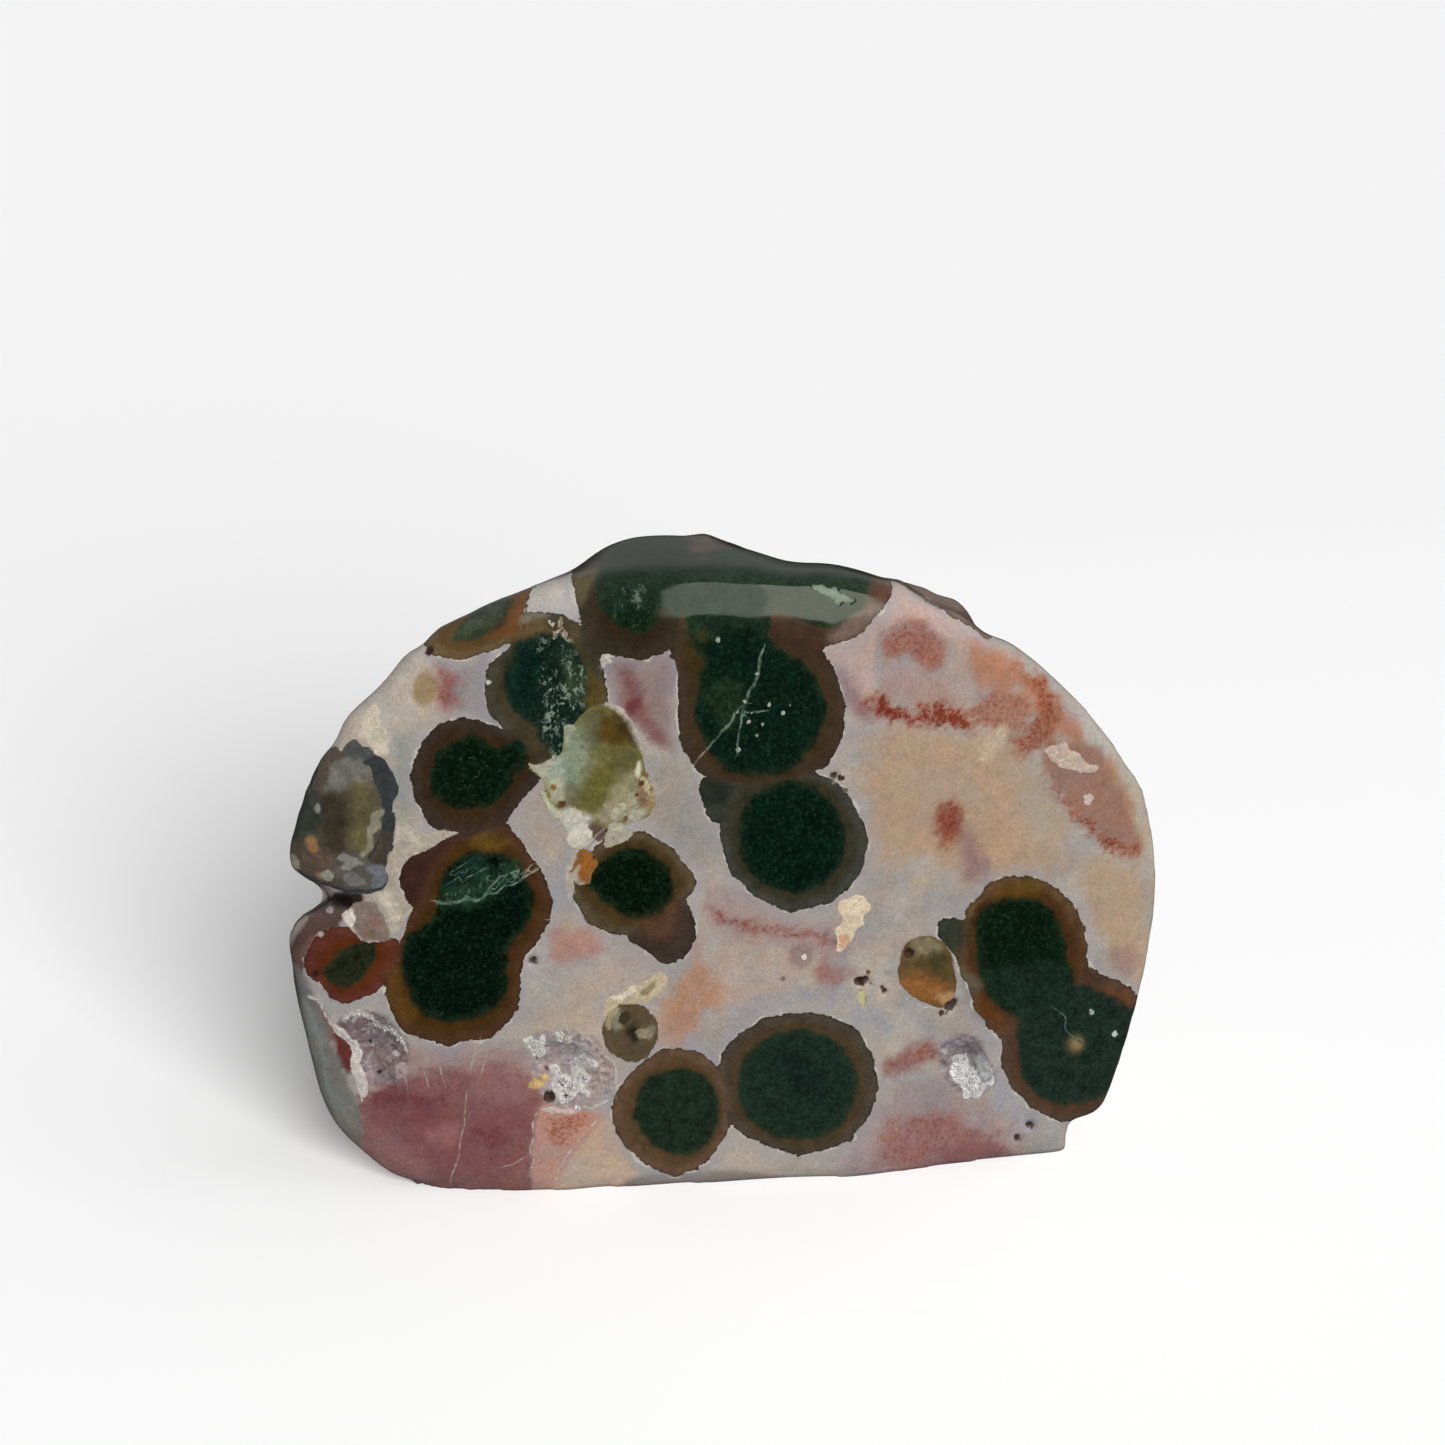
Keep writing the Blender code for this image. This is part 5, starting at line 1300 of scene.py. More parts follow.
def polished_jasper():
    """Ocean jasper, cut and polished: cloudy chalcedony and mossy orbs under a glassy skin."""
    material = bpy.data.materials.new("polished_ocean_jasper")
    tree = bare_tree(material)
    place = add(tree, "ShaderNodeTexCoord").outputs["Object"]
    mm = add(tree, "ShaderNodeMapping", {"Vector": place, "Scale": (1 / MM,) * 3})
    held = {}
    for name in MARKS:
        held[name] = add(tree, "ShaderNodeAttribute", attribute_name=name).outputs["Fac"]
    for name in TONES:
        held[name] = add(tree, "ShaderNodeAttribute", attribute_name=name).outputs["Color"]
    grown = {}
    for name, size, detail, rough in GRAINS:
        grown[name] = add(tree, NOISE, {"Vector": mm, "Scale": 1 / size, "Detail": detail,
            "Roughness": rough})

    # the orbs' scalloped rims: lobes of about 2 mm with a finer fray
    lobes = add(tree, "ShaderNodeTexVoronoi", {"Vector": mm, "Scale": 1 / 1.9, "Smoothness": 0.5},
        feature="SMOOTH_F1")
    scallops = add(tree, MATH, {0: lobes, 1: 0.5, 2: -0.225}, operation="MULTIPLY_ADD")
    fray = add(tree, MATH, {0: grown["fray"], 1: 0.55, 2: -0.275}, operation="MULTIPLY_ADD")
    nicks = add(tree, MATH, {0: grown["iron"], 1: 0.5, 2: -0.25}, operation="MULTIPLY_ADD")
    edge = add(tree, MATH, {0: scallops, 1: fray}, operation="ADD")
    edge = add(tree, MATH, {0: edge, 1: nicks}, operation="ADD")
    orb = add(tree, MATH, {0: held["orb"], 1: edge}, operation="ADD")
    feather = add(tree, MATH, {0: grown["feather"], 1: 1.5, 2: -0.75}, operation="MULTIPLY_ADD")
    core = add(tree, MATH, {0: held["core"], 1: feather}, operation="ADD")

    # chalcedony: clouds of about 5 mm, mottles of 1 mm and a fine grain over the stains
    clouds = add(tree, RANGE, {"Value": grown["clouds"], "From Min": 0.35, "From Max": 0.65,
        "To Min": 0.95, "To Max": 1.05})
    mottle = add(tree, RANGE, {"Value": grown["mottle"], "From Min": 0.3, "From Max": 0.7,
        "To Min": 0.91, "To Max": 1.09})
    grain = add(tree, RANGE, {"Value": grown["grain"], "From Min": 0.3, "From Max": 0.7,
        "To Min": 0.82, "To Max": 1.18})
    shade = add(tree, MATH, {0: clouds, 1: mottle}, operation="MULTIPLY")
    shade = add(tree, MATH, {0: shade, 1: grain}, operation="MULTIPLY")
    ground = add(tree, VECTOR, {0: held["ground"], "Scale": shade}, operation="SCALE")
    warmth = add(tree, RANGE, {"Value": grown["warmth"], "From Min": 0.38, "From Max": 0.62})
    hue = add(tree, MIX, {"Factor": warmth, 6: (0.955, 1.0, 1.06, 1), 7: (1.05, 0.99, 0.93, 1)},
        **RGBA)
    ground = add(tree, MIX, {"Factor": 1.0, 6: ground, 7: hue}, **RGBA, blend_type="MULTIPLY")

    # iron: rusty specks of about 0.3 mm, thickest in the stains' hearts
    rust_at = add(tree, MATH, {0: held["specks"], 1: 0.3, 2: grown["iron"]},
        operation="MULTIPLY_ADD")
    rust = add(tree, RANGE, {"Value": rust_at, "From Min": 0.6, "From Max": 0.7}, **SOFT)
    rust_seen = add(tree, MATH, {0: rust, 1: held["specks"]}, operation="MULTIPLY")
    rust_seen = add(tree, MATH, {0: rust_seen, 1: 1.7}, operation="MULTIPLY", use_clamp=True)
    rusty = add(tree, MIX, {"Factor": 1.0, 6: ground, 7: tone("#e0b0a0")}, **RGBA,
        blend_type="MULTIPLY")
    rusty = add(tree, MIX, {"Factor": 0.45, 6: rusty, 7: tone("#74291c")}, **RGBA)
    ground = add(tree, MIX, {"Factor": rust_seen, 6: ground, 7: rusty}, **RGBA)
    patchy = add(tree, RANGE, {"Value": grown["jags"], "From Min": 0.42, "From Max": 0.6})
    patchy = add(tree, MATH, {0: patchy, 1: held["specks"]}, operation="MULTIPLY")
    patchy = add(tree, MATH, {0: patchy, 1: 1.7}, operation="MULTIPLY", use_clamp=True)
    ground = add(tree, MIX, {"Factor": patchy, 6: ground, 7: (0.86, 0.70, 0.65, 1)}, **RGBA,
        blend_type="MULTIPLY")

    # a blue-grey bloom around the orbs, thin healed cracks and a broken white line at the rims
    bloom = add(tree, RANGE, {"Value": orb, "From Min": 2.0, "From Max": 0.1, "To Max": 0.42},
        **SOFT)
    ground_green = add(tree, "ShaderNodeSeparateColor", {0: held["ground"]}).outputs[1]
    on_pale = add(tree, RANGE, {"Value": ground_green, "From Min": 0.08, "From Max": 0.2})
    bloom = add(tree, MATH, {0: bloom, 1: on_pale}, operation="MULTIPLY")
    ground = add(tree, MIX, {"Factor": bloom, 6: ground, 7: tone("#98969a")}, **RGBA)
    ridge = add(tree, MATH, {0: grown["cracks"], 1: 0.5}, operation="SUBTRACT")
    ridge = add(tree, MATH, {0: ridge}, operation="ABSOLUTE")
    crack = add(tree, RANGE, {"Value": ridge, "From Min": 0.004, "From Max": 0.0}, **SOFT)
    kept = add(tree, RANGE, {"Value": grown["breaks"], "From Min": 0.56, "From Max": 0.68,
        "To Max": 0.3}, **SOFT)
    crack = add(tree, MATH, {0: crack, 1: kept}, operation="MULTIPLY")
    ground = add(tree, MIX, {"Factor": crack, 6: ground, 7: tone("#c9c2b8")}, **RGBA)
    rim_gap = add(tree, MATH, {0: grown["breaks"], 1: -1.4, 2: 0.78}, operation="MULTIPLY_ADD")
    rim_gap = add(tree, MATH, {0: orb, 1: rim_gap}, operation="ADD")
    white_rim = add(tree, RANGE, {"Value": rim_gap, "From Min": 0.2, "From Max": 0.02,
        "To Max": 0.85}, **SOFT)
    ground = add(tree, MIX, {"Factor": white_rim, 6: ground, 7: tone("#bdb8ae")}, **RGBA)

    # druse: grey and lilac crystal tips about 0.9 mm across, laced with white
    wander = add(tree, VECTOR, {0: grown["wander"].outputs["Color"], "Scale": 1.6},
        operation="SCALE")
    drifted = add(tree, VECTOR, {0: mm, 1: wander}, operation="ADD")
    lace = add(tree, "ShaderNodeTexVoronoi", {"Vector": drifted, "Scale": 1 / 1.15},
        feature="DISTANCE_TO_EDGE")
    tips = add(tree, "ShaderNodeTexVoronoi", {"Vector": drifted, "Scale": 1 / 0.55})
    tip = add(tree, "ShaderNodeSeparateColor", {0: tips.outputs["Color"]})
    laced = add(tree, RANGE, {"Value": lace, "From Min": 0.13, "From Max": 0.05}, **SOFT)
    lace_kept = add(tree, RANGE, {"Value": grown["breaks"], "From Min": 0.54, "From Max": 0.62,
        "To Max": 0.35}, **SOFT)
    laced = add(tree, MATH, {0: laced, 1: lace_kept}, operation="MULTIPLY")
    laced = add(tree, MATH, {0: laced, 1: held["druse"]}, operation="MULTIPLY")
    facet = add(tree, RANGE, {"Value": tip, "To Min": 0.93, "To Max": 1.08})
    facet = add(tree, MIX, {"Factor": held["druse"], 2: 1.0, 3: facet})
    ground = add(tree, VECTOR, {0: ground, "Scale": facet}, operation="SCALE")
    # dark patches in the druse are painted shade of its hollows
    hollow = add(tree, RANGE, {"Value": grown["fray"], "From Min": 0.62, "From Max": 0.74,
        "To Max": 0.4}, **SOFT)
    hollow = add(tree, MATH, {0: hollow, 1: held["druse"]}, operation="MULTIPLY")
    ground = add(tree, MIX, {"Factor": hollow, 6: ground, 7: tone("#4b3f40")}, **RGBA)
    ground = add(tree, MIX, {"Factor": laced, 6: ground, 7: tone("#c4c0be")}, **RGBA)

    # rind: a dark line at its rim, grey-brown inside it, warmer and then mossy at the core
    depth = add(tree, MATH, {0: core, 1: orb}, operation="SUBTRACT")
    depth = add(tree, MATH, {0: depth, 1: 0.05}, operation="MAXIMUM")
    inward = add(tree, MATH, {0: orb, 1: -1.0}, operation="MULTIPLY")
    inward = add(tree, MATH, {0: inward, 1: depth}, operation="DIVIDE")
    ripening = add(tree, RANGE, {"Value": inward, "From Min": 0.2, "From Max": 0.75}, **SOFT)
    rind = add(tree, MIX, {"Factor": ripening, 6: held["rind_outer"], 7: held["rind_inner"]},
        **RGBA)
    rind_light = add(tree, RANGE, {"Value": grown["moss"], "From Min": 0.3, "From Max": 0.7,
        "To Min": 0.72, "To Max": 1.3})
    rind_light = add(tree, MATH, {0: rind_light, 1: grain}, operation="MULTIPLY")
    rind = add(tree, VECTOR, {0: rind, "Scale": rind_light}, operation="SCALE")
    dashes = add(tree, RANGE, {"Value": grown["fray"], "From Min": 0.35, "From Max": 0.6,
        "To Min": 0.85, "To Max": 0.3})
    rim_line = add(tree, RANGE, {"Value": orb, "From Min": -0.24, "From Max": -0.06})
    rim_line = add(tree, MATH, {0: rim_line, 1: dashes}, operation="MULTIPLY")
    rind = add(tree, MIX, {"Factor": rim_line, 6: rind, 7: tone("#241b16")}, **RGBA)

    # core: mossy dark green, olive where it frays into the rind, with white dendrites
    moss_light = add(tree, RANGE, {"Value": grown["moss"], "From Min": 0.3, "From Max": 0.7,
        "To Min": 0.5, "To Max": 1.6})
    fine_light = add(tree, RANGE, {"Value": grown["iron"], "From Min": 0.3, "From Max": 0.7,
        "To Min": 0.55, "To Max": 1.4})
    moss_light = add(tree, MATH, {0: moss_light, 1: fine_light}, operation="MULTIPLY")
    green = add(tree, VECTOR, {0: held["core_colour"], "Scale": moss_light}, operation="SCALE")
    fleck = add(tree, RANGE, {"Value": grown["iron"], "From Min": 0.52, "From Max": 0.66,
        "To Max": 0.5}, **SOFT)
    green = add(tree, MIX, {"Factor": fleck, 6: green, 7: tone("#22382b")}, **RGBA)
    verge = add(tree, RANGE, {"Value": core, "From Min": -1.0, "From Max": 0.05}, **SOFT)
    tufts = add(tree, RANGE, {"Value": grown["mottle"], "From Min": 0.4, "From Max": 0.62,
        "To Min": 0.05, "To Max": 0.6})
    verge = add(tree, MATH, {0: verge, 1: tufts}, operation="MULTIPLY")
    green = add(tree, MIX, {"Factor": verge, 6: green, 7: tone("#26341f")}, **RGBA)
    needles = []
    for turn in (0.5, -0.8):
        stretched = add(tree, "ShaderNodeMapping", {"Vector": drifted, "Scale": (1.8, 1.8, 0.95),
            "Rotation": (0.0, turn, 0.0)})
        needles.append(add(tree, NOISE, {"Vector": stretched, "Scale": 1.0, "Detail": 2.0,
            "Roughness": 0.6}))
    needle = add(tree, MATH, {0: needles[0], 1: needles[1]}, operation="MAXIMUM")
    needle = add(tree, MATH, {0: grown["mottle"], 1: 0.35, 2: needle}, operation="MULTIPLY_ADD")
    needle = add(tree, MATH, {0: held["moss"], 1: 0.1, 2: needle}, operation="MULTIPLY_ADD")
    needle = add(tree, RANGE, {"Value": needle, "From Min": 0.81, "From Max": 0.96}, **SOFT)
    needle = add(tree, MATH, {0: needle, 1: held["moss"]}, operation="MULTIPLY")
    green = add(tree, MIX, {"Factor": needle, 6: green, 7: tone("#788878")}, **RGBA)
    greening = add(tree, RANGE, {"Value": core, "From Min": 0.42, "From Max": -0.22}, **SOFT)
    orbs = add(tree, MIX, {"Factor": greening, 6: rind, 7: green}, **RGBA)
    in_orb = add(tree, RANGE, {"Value": orb, "From Min": 0.05, "From Max": -0.05}, **SOFT)
    skin = add(tree, MIX, {"Factor": in_orb, 6: ground, 7: orbs}, **RGBA)

    # slate rind of the clear body in the left lobe, then the crusts and chips over all
    jagged = add(tree, MATH, {0: grown["jags"], 1: 0.9, 2: -0.45}, operation="MULTIPLY_ADD")
    slate_at = add(tree, MATH, {0: held["slate"], 1: jagged}, operation="ADD")
    slate = add(tree, RANGE, {"Value": slate_at, "From Min": 0.05, "From Max": -0.05}, **SOFT)
    slate_tone = add(tree, VECTOR, {0: tone("#36393a")[:3], "Scale": rind_light},
        operation="SCALE")
    skin = add(tree, MIX, {"Factor": slate, 6: skin, 7: slate_tone}, **RGBA)
    crust_at = add(tree, MATH, {0: held["crust"], 1: jagged}, operation="ADD")
    crust_light = add(tree, RANGE, {"Value": grown["jags"], "From Min": 0.3, "From Max": 0.7,
        "To Min": 1.3, "To Max": 0.68})
    crust_light = add(tree, MATH, {0: crust_light, 1: grain}, operation="MULTIPLY")
    faces = add(tree, RANGE, {"Value": tip, "To Min": 0.88, "To Max": 1.12})
    crust_light = add(tree, MATH, {0: crust_light, 1: faces}, operation="MULTIPLY")
    crust_tone = add(tree, VECTOR, {0: held["crust_colour"], "Scale": crust_light},
        operation="SCALE")
    crust = add(tree, RANGE, {"Value": crust_at, "From Min": 0.06, "From Max": -0.06}, **SOFT)
    near_edge = add(tree, RANGE, {"Value": crust_at, "From Min": -1.3, "From Max": -0.05})
    crumbs = add(tree, RANGE, {"Value": grown["jags"], "From Min": 0.5, "From Max": 0.58,
        "To Max": 0.65})
    crumbs = add(tree, MATH, {0: crumbs, 1: near_edge}, operation="MULTIPLY")
    pale_crumbs = add(tree, VECTOR, {0: crust_tone, "Scale": 1.45}, operation="SCALE")
    crust_tone = add(tree, MIX, {"Factor": crumbs, 6: crust_tone, 7: pale_crumbs}, **RGBA)
    skin = add(tree, MIX, {"Factor": crust, 6: skin, 7: crust_tone}, **RGBA)
    white_at = add(tree, MATH, {0: jagged, 1: 0.45, 2: held["white_line"]},
        operation="MULTIPLY_ADD")
    white = add(tree, RANGE, {"Value": white_at, "From Min": 0.08, "From Max": -0.1,
        "To Max": 0.85}, **SOFT)
    skin = add(tree, MIX, {"Factor": white, 6: skin, 7: tone("#bdbab1")}, **RGBA)

    # healed cracks and open pits
    bent = add(tree, MATH, {0: fray, 1: 0.42, 2: held["vein"]}, operation="MULTIPLY_ADD")
    bent = add(tree, MATH, {0: bent}, operation="ABSOLUTE")
    vein = add(tree, RANGE, {"Value": bent, "From Min": 0.15, "From Max": 0.04}, **SOFT)
    vein = add(tree, MATH, {0: vein, 1: held["vein_shown"]}, operation="MULTIPLY")
    broken = add(tree, RANGE, {"Value": grown["jags"], "From Min": 0.42, "From Max": 0.58,
        "To Min": 0.9, "To Max": 0.15})
    vein = add(tree, MATH, {0: vein, 1: broken}, operation="MULTIPLY")
    vein_tone = add(tree, MIX, {"Factor": greening, 6: tone("#a39c8c"), 7: tone("#6b8470")},
        **RGBA)
    skin = add(tree, MIX, {"Factor": vein, 6: skin, 7: vein_tone}, **RGBA)
    # the pits' dark brown is painted shade in the holes, over their real sunk relief
    pit_at = add(tree, MATH, {0: edge, 1: 0.8, 2: held["pit"]}, operation="MULTIPLY_ADD")
    pit = add(tree, RANGE, {"Value": pit_at, "From Min": 0.03, "From Max": -0.16, "To Max": 0.92},
        **SOFT)
    skin = add(tree, MIX, {"Factor": pit, 6: skin, 7: tone("#38190d")}, **RGBA)

    # a glassy polish, duller on crusts, in the druse and in the pits
    rough = add(tree, RANGE, {"Value": grown["clouds"], "From Min": 0.3, "From Max": 0.7,
        "To Min": 0.13, "To Max": 0.08})
    cored = add(tree, MATH, {0: in_orb, 1: greening}, operation="MULTIPLY")
    rough = add(tree, MIX, {"Factor": cored, 2: rough, 3: 0.055})
    for mask, dullness in ((held["druse"], 0.42), (white, 0.5), (crust, 0.22), (pit, 0.6)):
        dull = add(tree, MATH, {0: mask, 1: dullness}, operation="MULTIPLY")
        rough = add(tree, MATH, {0: rough, 1: dull}, operation="MAXIMUM")

    # relief too fine for the mesh: sunken veins, frayed crusts and crystal faces
    relief = add(tree, MATH, {0: vein, 1: -0.35}, operation="MULTIPLY")
    crust_rise = add(tree, MATH, {0: crust, 1: jagged}, operation="MULTIPLY")
    relief = add(tree, MATH, {0: crust_rise, 1: 0.5, 2: relief}, operation="MULTIPLY_ADD")
    faces_rise = add(tree, MATH, {0: held["druse"], 1: 0.5}, operation="MULTIPLY")
    relief = add(tree, MATH, {0: faces_rise, 1: tip, 2: relief}, operation="MULTIPLY_ADD")
    relief = add(tree, MATH, {0: pit, 1: -0.8, 2: relief}, operation="MULTIPLY_ADD")
    bump = add(tree, "ShaderNodeBump", {"Height": relief, "Distance": 0.12 * MM, "Strength": 0.8})
    shader = add(tree, "ShaderNodeBsdfPrincipled", {"Base Color": skin, "Roughness": rough,
        "IOR": QUARTZ_IOR, "Normal": bump})
    add(tree, "ShaderNodeOutputMaterial", {"Surface": shader})
    return material


def drusy_quartz():
    """Sugary white quartz: small frosted tips, some greyer, with a soft glint."""
    material = bpy.data.materials.new("drusy_quartz")
    tree = bare_tree(material)
    place = add(tree, "ShaderNodeTexCoord").outputs["Object"]
    mm = add(tree, "ShaderNodeMapping", {"Vector": place, "Scale": (1 / MM,) * 3})
    patches = add(tree, NOISE, {"Vector": mm, "Scale": 1 / 1.6, "Detail": 3.0})
    shade = add(tree, RANGE, {"Value": patches, "From Min": 0.4, "From Max": 0.6})
    lilac = add(tree, MIX, {"Factor": shade, 6: tone("#bbb8b5"), 7: tone("#cecccb")}, **RGBA)
    milk = add(tree, NOISE, {"Vector": mm, "Scale": 1 / 0.35, "Detail": 2.0})
    white = add(tree, RANGE, {"Value": milk, "From Min": 0.52, "From Max": 0.62, "To Max": 0.7})
    colour = add(tree, MIX, {"Factor": white, 6: lilac, 7: tone("#d2cfcb")}, **RGBA)
    shader = add(tree, "ShaderNodeBsdfPrincipled", {"Base Color": colour, "Roughness": 0.5,
        "IOR": QUARTZ_IOR})
    add(tree, "ShaderNodeOutputMaterial", {"Surface": shader})
    return material


def quartz_point():
    """One six-sided quartz point with its foot below the origin, for a scale in mm."""
    radius, foot, shoulder, tip = 0.42, -0.5, 0.25, (0.05, 0.0, 0.75)
    angles = [math.tau * side / 6 for side in range(6)]
    around = [(radius * math.cos(a), radius * math.sin(a)) for a in angles]
    corners = [(x, y, z) for z in (foot, shoulder) for x, y in around]
    walls = [(side, (side + 1) % 6, 6 + (side + 1) % 6, 6 + side) for side in range(6)]
    tips = [(6 + side, 6 + (side + 1) % 6, 12) for side in range(6)]
    mesh = bpy.data.meshes.new("quartz_point")
    mesh.from_pydata([Vector(c) * MM for c in [*corners, tip]], [], walls + tips)
    return placed("quartz_point", mesh)


def crystal_growth():
    """Geometry nodes that stand crystals on scattered points of a surface, each at its own lean."""
    tree = bpy.data.node_groups.new("crystal_growth", "GeometryNodeTree")
    kinds = {"Surface": "Geometry", "Crystal": "Object", "Spacing": "Float", "Seed": "Int",
        "Material": "Material"}
    for name, kind in kinds.items():
        tree.interface.new_socket(name, in_out="INPUT", socket_type="NodeSocket" + kind)
    tree.interface.new_socket("Crystals", in_out="OUTPUT", socket_type="NodeSocketGeometry")
    given = add(tree, "NodeGroupInput").outputs
    spots = add(tree, "GeometryNodeDistributePointsOnFaces", {"Mesh": given["Surface"],
        "Distance Min": given["Spacing"], "Density Max": 3e7, "Seed": given["Seed"]},
        distribute_method="POISSON")
    lean = add(tree, "FunctionNodeRandomValue", {0: [-turn for turn in CRYSTAL_LEAN],
        1: CRYSTAL_LEAN}, data_type="FLOAT_VECTOR")
    turned = add(tree, "FunctionNodeRotateRotation", {"Rotation": spots.outputs["Rotation"],
        "Rotate By": lean}, rotation_space="LOCAL")
    least, most = CRYSTAL_SIZES
    size = add(tree, "FunctionNodeRandomValue", {2: least, 3: most}, data_type="FLOAT").outputs[1]
    crystal = add(tree, "GeometryNodeObjectInfo", {"Object": given["Crystal"]})
    grown = add(tree, "GeometryNodeInstanceOnPoints", {"Points": spots,
        "Instance": crystal.outputs["Geometry"], "Rotation": turned, "Scale": size})
    real = add(tree, "GeometryNodeRealizeInstances", {"Geometry": grown})
    coated = add(tree, "GeometryNodeSetMaterial", {"Geometry": real,
        "Material": given["Material"]})
    add(tree, "NodeGroupOutput", {"Crystals": coated})
    return tree


def pocket_crystals(skin, marks):
    """Small quartz points on the white crusts in the druse hollows."""
    crusted = (marks.values["druse"] > 0.7) & (marks.values["crust"] < -0.06)
    crusted &= marks.colours["crust_colour"][:, 1] > PALE_CRUST
    made = bmesh.new()
    made.from_mesh(skin)
    made.verts.ensure_lookup_table()
    other = [face for face in made.faces if not all(crusted[v.index] for v in face.verts)]
    bmesh.ops.delete(made, geom=other, context="FACES")
    hollows = bpy.data.meshes.new("hollows")
    made.to_mesh(hollows)
    made.free()
    bed = placed("crystal_bed", hollows)
    point = quartz_point()
    growth = bed.modifiers.new("growth", "NODES")
    growth.node_group = crystal_growth()
    values = {"Crystal": point, "Spacing": CRYSTAL_SPACING * MM, "Seed": 3,
        "Material": drusy_quartz()}
    for socket in growth.node_group.interface.items_tree:
        if socket.name in values:
            growth[socket.identifier] = values[socket.name]
    graph = bpy.context.evaluated_depsgraph_get()
    mesh = bpy.data.meshes.new_from_object(bed.evaluated_get(graph))
    bpy.data.objects.remove(bed)
    bpy.data.objects.remove(point)
    return placed("pocket_crystals", mesh)


def matched_camera():
    """The camera at the photograph's viewing angle."""
    data = bpy.data.cameras.new("photo_camera")
    data.lens = LENS
    data.sensor_width = SENSOR
    data.clip_start = 0.01
    data.clip_end = 30.0
    camera = placed("photo_camera", data)
    right, up, back = camera_axes()
    turn = Matrix((right, up, back)).transposed().to_4x4()
    camera.matrix_world = Matrix.Translation(Vector(eye() * MM)) @ turn
    bpy.context.scene.camera = camera


def card(name, corners, strength, colour):
    """A studio light that only shows in the polish, given by its corners in mm."""
    mesh = bpy.data.meshes.new(name)
    mesh.from_pydata([Vector(c) * MM for c in corners], [], [range(len(corners))])
    material = bpy.data.materials.new(name)
    tree = bare_tree(material)
    light = add(tree, "ShaderNodeEmission", {"Color": tone(colour), "Strength": strength})
    add(tree, "ShaderNodeOutputMaterial", {"Surface": light})
    mesh.materials.append(material)
    made = placed(name, mesh)
    made.visible_camera = False
    made.visible_diffuse = False
    made.visible_shadow = False
    made.visible_transmission = False


def disc(centre, towards, across, up, sides=12):
    """The corners of an oval card that faces a point, from its half sizes in mm."""
    turn = (Vector(towards) - Vector(centre)).to_track_quat("Z", "Y")
    angles = [math.tau * side / sides for side in range(sides)]
    around = [Vector((across * math.cos(a), up * math.sin(a), 0)) for a in angles]
    return [Vector(centre) + turn @ spot for spot in around]


def direction(azimuth, elevation):
    """The direction towards an azimuth right of the front and an elevation, in degrees."""
    a, e = math.radians(azimuth), math.radians(elevation)
    return Vector((math.sin(a) * math.cos(e), -math.cos(a) * math.cos(e), math.sin(e)))


def floor():
    """A pale studio floor that runs far back, with painted falloff: darker towards the back."""
    mesh = bpy.data.meshes.new("studio_floor")
    sides = ((-1, -1), (1, -1), (1, 1), (-1, 1))
    corners = [(x * FLOOR_REACH, y * FLOOR_REACH, 0) for x, y in sides]
    mesh.from_pydata(corners, [], [(0, 1, 2, 3)])
    material = bpy.data.materials.new("white_paper_painted_falloff")
    tree = bare_tree(material)
    place = add(tree, "ShaderNodeTexCoord").outputs["Object"]
    depth = add(tree, "ShaderNodeSeparateXYZ", {0: place}).outputs[1]
    grey = add(tree, RANGE, {"Value": depth, **FLOOR_FALLOFF_GREYS})
    paper = add(tree, "ShaderNodeCombineColor", {0: grey, 1: grey, 2: grey})
    shader = add(tree, "ShaderNodeBsdfDiffuse", {"Color": paper, "Roughness": 0.0})
    add(tree, "ShaderNodeOutputMaterial", {"Surface": shader})
    mesh.materials.append(material)
    made = placed("studio_floor", mesh)
    made.visible_glossy = False
    made.visible_diffuse = False
    return made


def sun(name, azimuth, elevation, strength, width, lit):
    """A broad soft light on some pieces, from an azimuth right of the front, in degrees."""
    data = bpy.data.lights.new(name, "SUN")
    data.energy = strength
    data.angle = math.radians(width)
    lamp = placed(name, data)
    lamp.rotation_mode = "QUATERNION"
    lamp.rotation_quaternion = direction(azimuth, elevation).to_track_quat("Z", "Y")
    lamp.visible_glossy = False
    flagged = bpy.data.collections.new(name + "_falls_on")
    for piece in lit:
        flagged.objects.link(piece)
    lamp.light_linking.receiver_collection = flagged


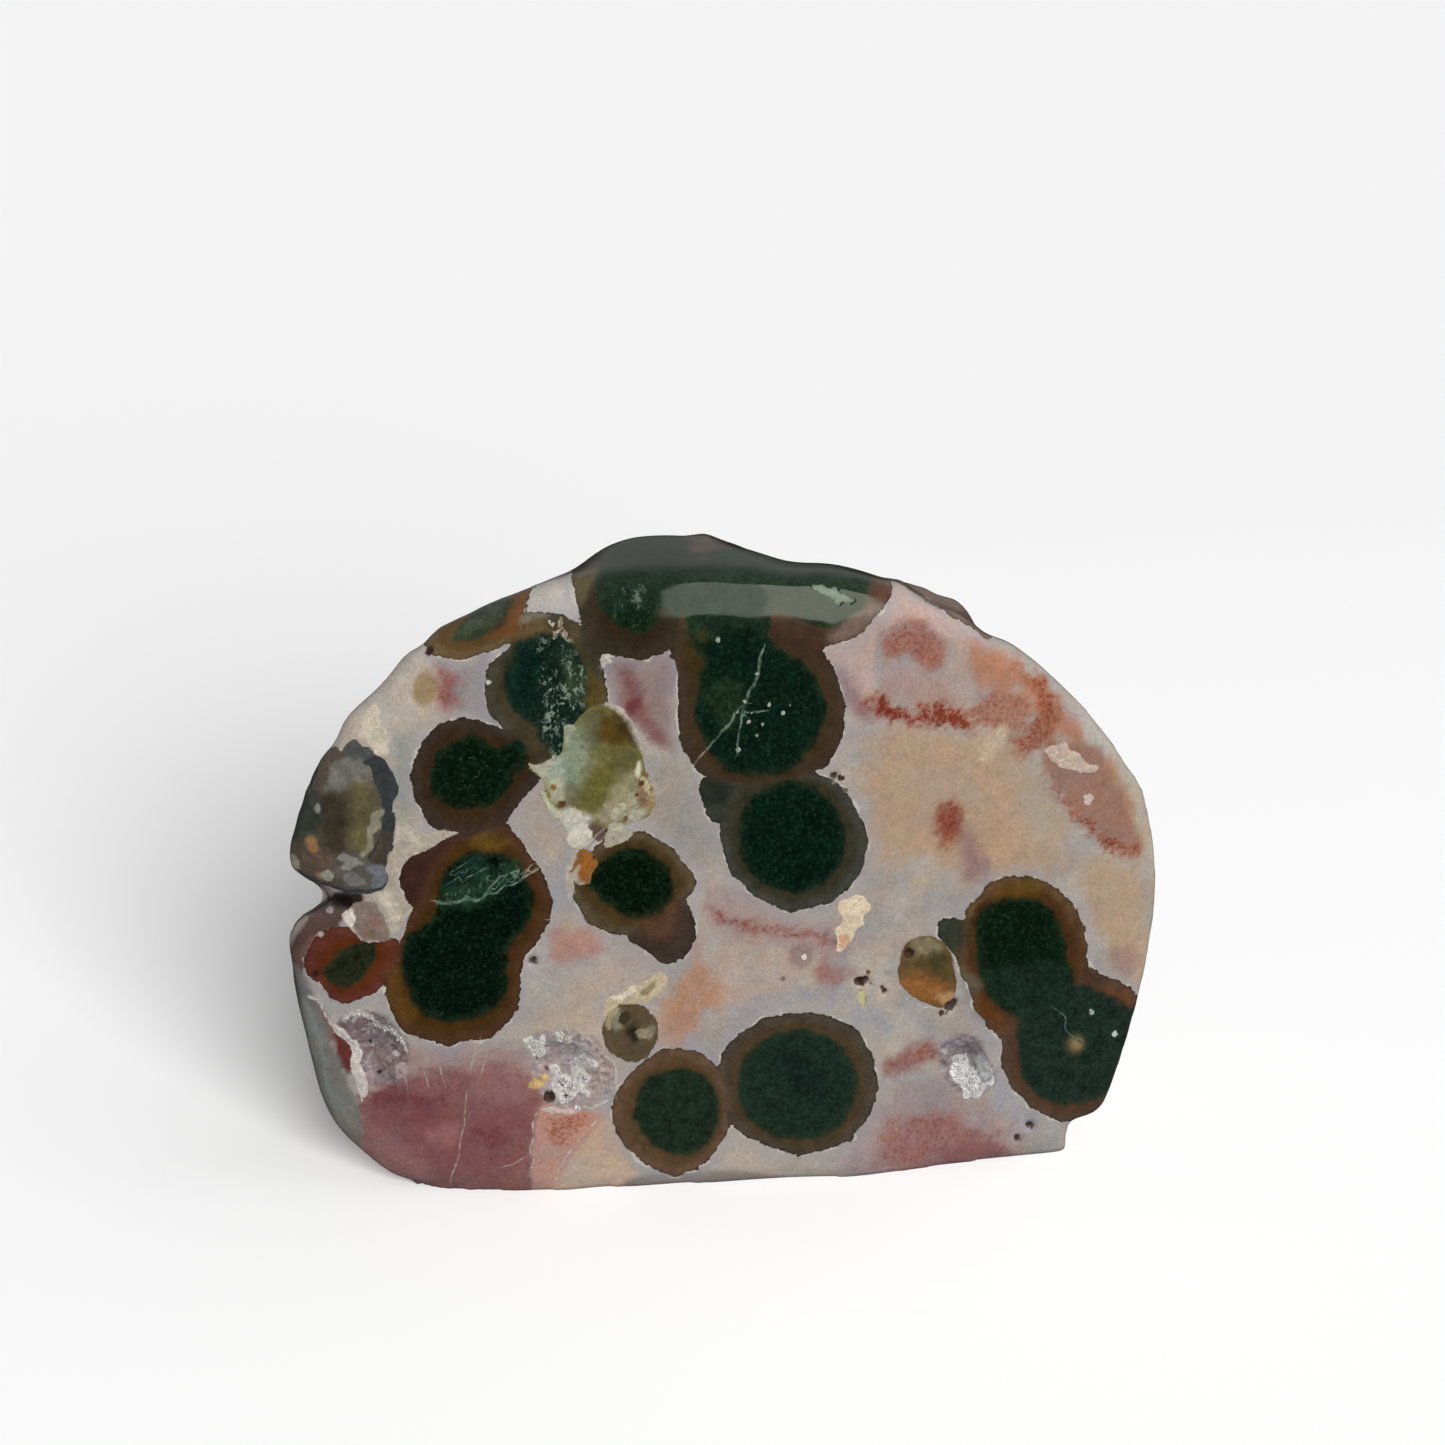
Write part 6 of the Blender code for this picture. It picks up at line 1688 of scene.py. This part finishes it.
def room():
    """Even light from all sides, and a dim room for the polish to mirror."""
    world = bpy.data.worlds.new("soft_room")
    bpy.context.scene.world = world
    tree = bare_tree(world)
    place = add(tree, "ShaderNodeTexCoord").outputs["Generated"]
    height = add(tree, "ShaderNodeSeparateXYZ", {0: place}).outputs[2]
    raised = add(tree, RANGE, {"Value": height, "From Min": -1.0, "From Max": 1.0})
    ramp = add(tree, "ShaderNodeValToRGB", {0: raised})
    stops = ramp.color_ramp.elements
    for index, (at, level) in enumerate(ROOM_LEVELS):
        stop = stops[index] if index < 2 else stops.new(at)
        stop.position = at
        stop.color = (level, level, level, 1)
    mirrored = add(tree, "ShaderNodeBackground", {"Color": ramp, "Strength": 1.0})

    # the window's light falls off from its middle, and the floor throws some of it back
    window = direction(WINDOW_AZIMUTH, WINDOW_ELEVATION)
    facing = add(tree, VECTOR, {0: place, 1: window}, operation="DOT_PRODUCT").outputs[1]
    falling = add(tree, MATH, {0: facing, 1: 1.0}, operation="SUBTRACT")
    falling = add(tree, MATH, {0: falling, 1: WINDOW_FADE}, operation="MULTIPLY")
    falling = add(tree, MATH, {0: falling}, operation="EXPONENT")
    above = add(tree, MATH, {0: falling, 1: WINDOW_STRENGTH}, operation="MULTIPLY")
    sideways = add(tree, "ShaderNodeSeparateXYZ", {0: place})
    thrown_back = add(tree, RANGE, {"Value": sideways, **THROWN_BACK})
    below = add(tree, MATH, {0: height, 1: 0.0}, operation="LESS_THAN")
    level = add(tree, MIX, {"Factor": below, 2: above, 3: thrown_back})
    lit = add(tree, "ShaderNodeBackground", {"Color": (1, 1, 1, 1), "Strength": level})
    seen = add(tree, "ShaderNodeBackground", {"Color": (0.95, 0.95, 0.955, 1), "Strength": 1.0})
    path = add(tree, "ShaderNodeLightPath").outputs
    first = add(tree, "ShaderNodeMixShader", {0: path["Is Glossy Ray"], 1: lit, 2: mirrored})
    second = add(tree, "ShaderNodeMixShader", {0: path["Is Camera Ray"], 1: first, 2: seen})
    add(tree, "ShaderNodeOutputWorld", {"Surface": second})


bpy.context.scene.view_settings.view_transform = "Standard"
matched_camera()
stone = skin_of(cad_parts["stone"])
corners, _ = mesh_values(stone.data)
marks = Marks(corners, hidden_by(stone.data, corners))
marks.write(stone.data)
set_corners(stone.data, carved(stone.data, corners, marks))
stone.data.shade_smooth()
stone.data.materials.append(polished_jasper())
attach(stone, "root")
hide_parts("stone")
crystals = pocket_crystals(stone.data, marks)
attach(crystals, "root")

paper = floor()
for lamp, lit in zip(SUNS, ([paper], [stone, crystals], [stone, crystals], [stone])):
    sun(*lamp, lit)
room()
card("front_softbox", [(x, SOFTBOX_DEPTH, z) for x, z in SOFTBOX], 2.8, "#fcffec")
card("softbox_flap", [(x, FLAP_DEPTH, z) for x, z in FLAP], 1.9, "#f4ffec")
card("lamp_low_right", disc((115, -169, -88), LAMP_SPOT, 2.2, 1.2), 7.0, LAMP_COLOUR)
card("lamp_glow", disc((115.5, -170, -88.4), LAMP_SPOT, 3.4, 1.9), 2.4, LAMP_COLOUR)
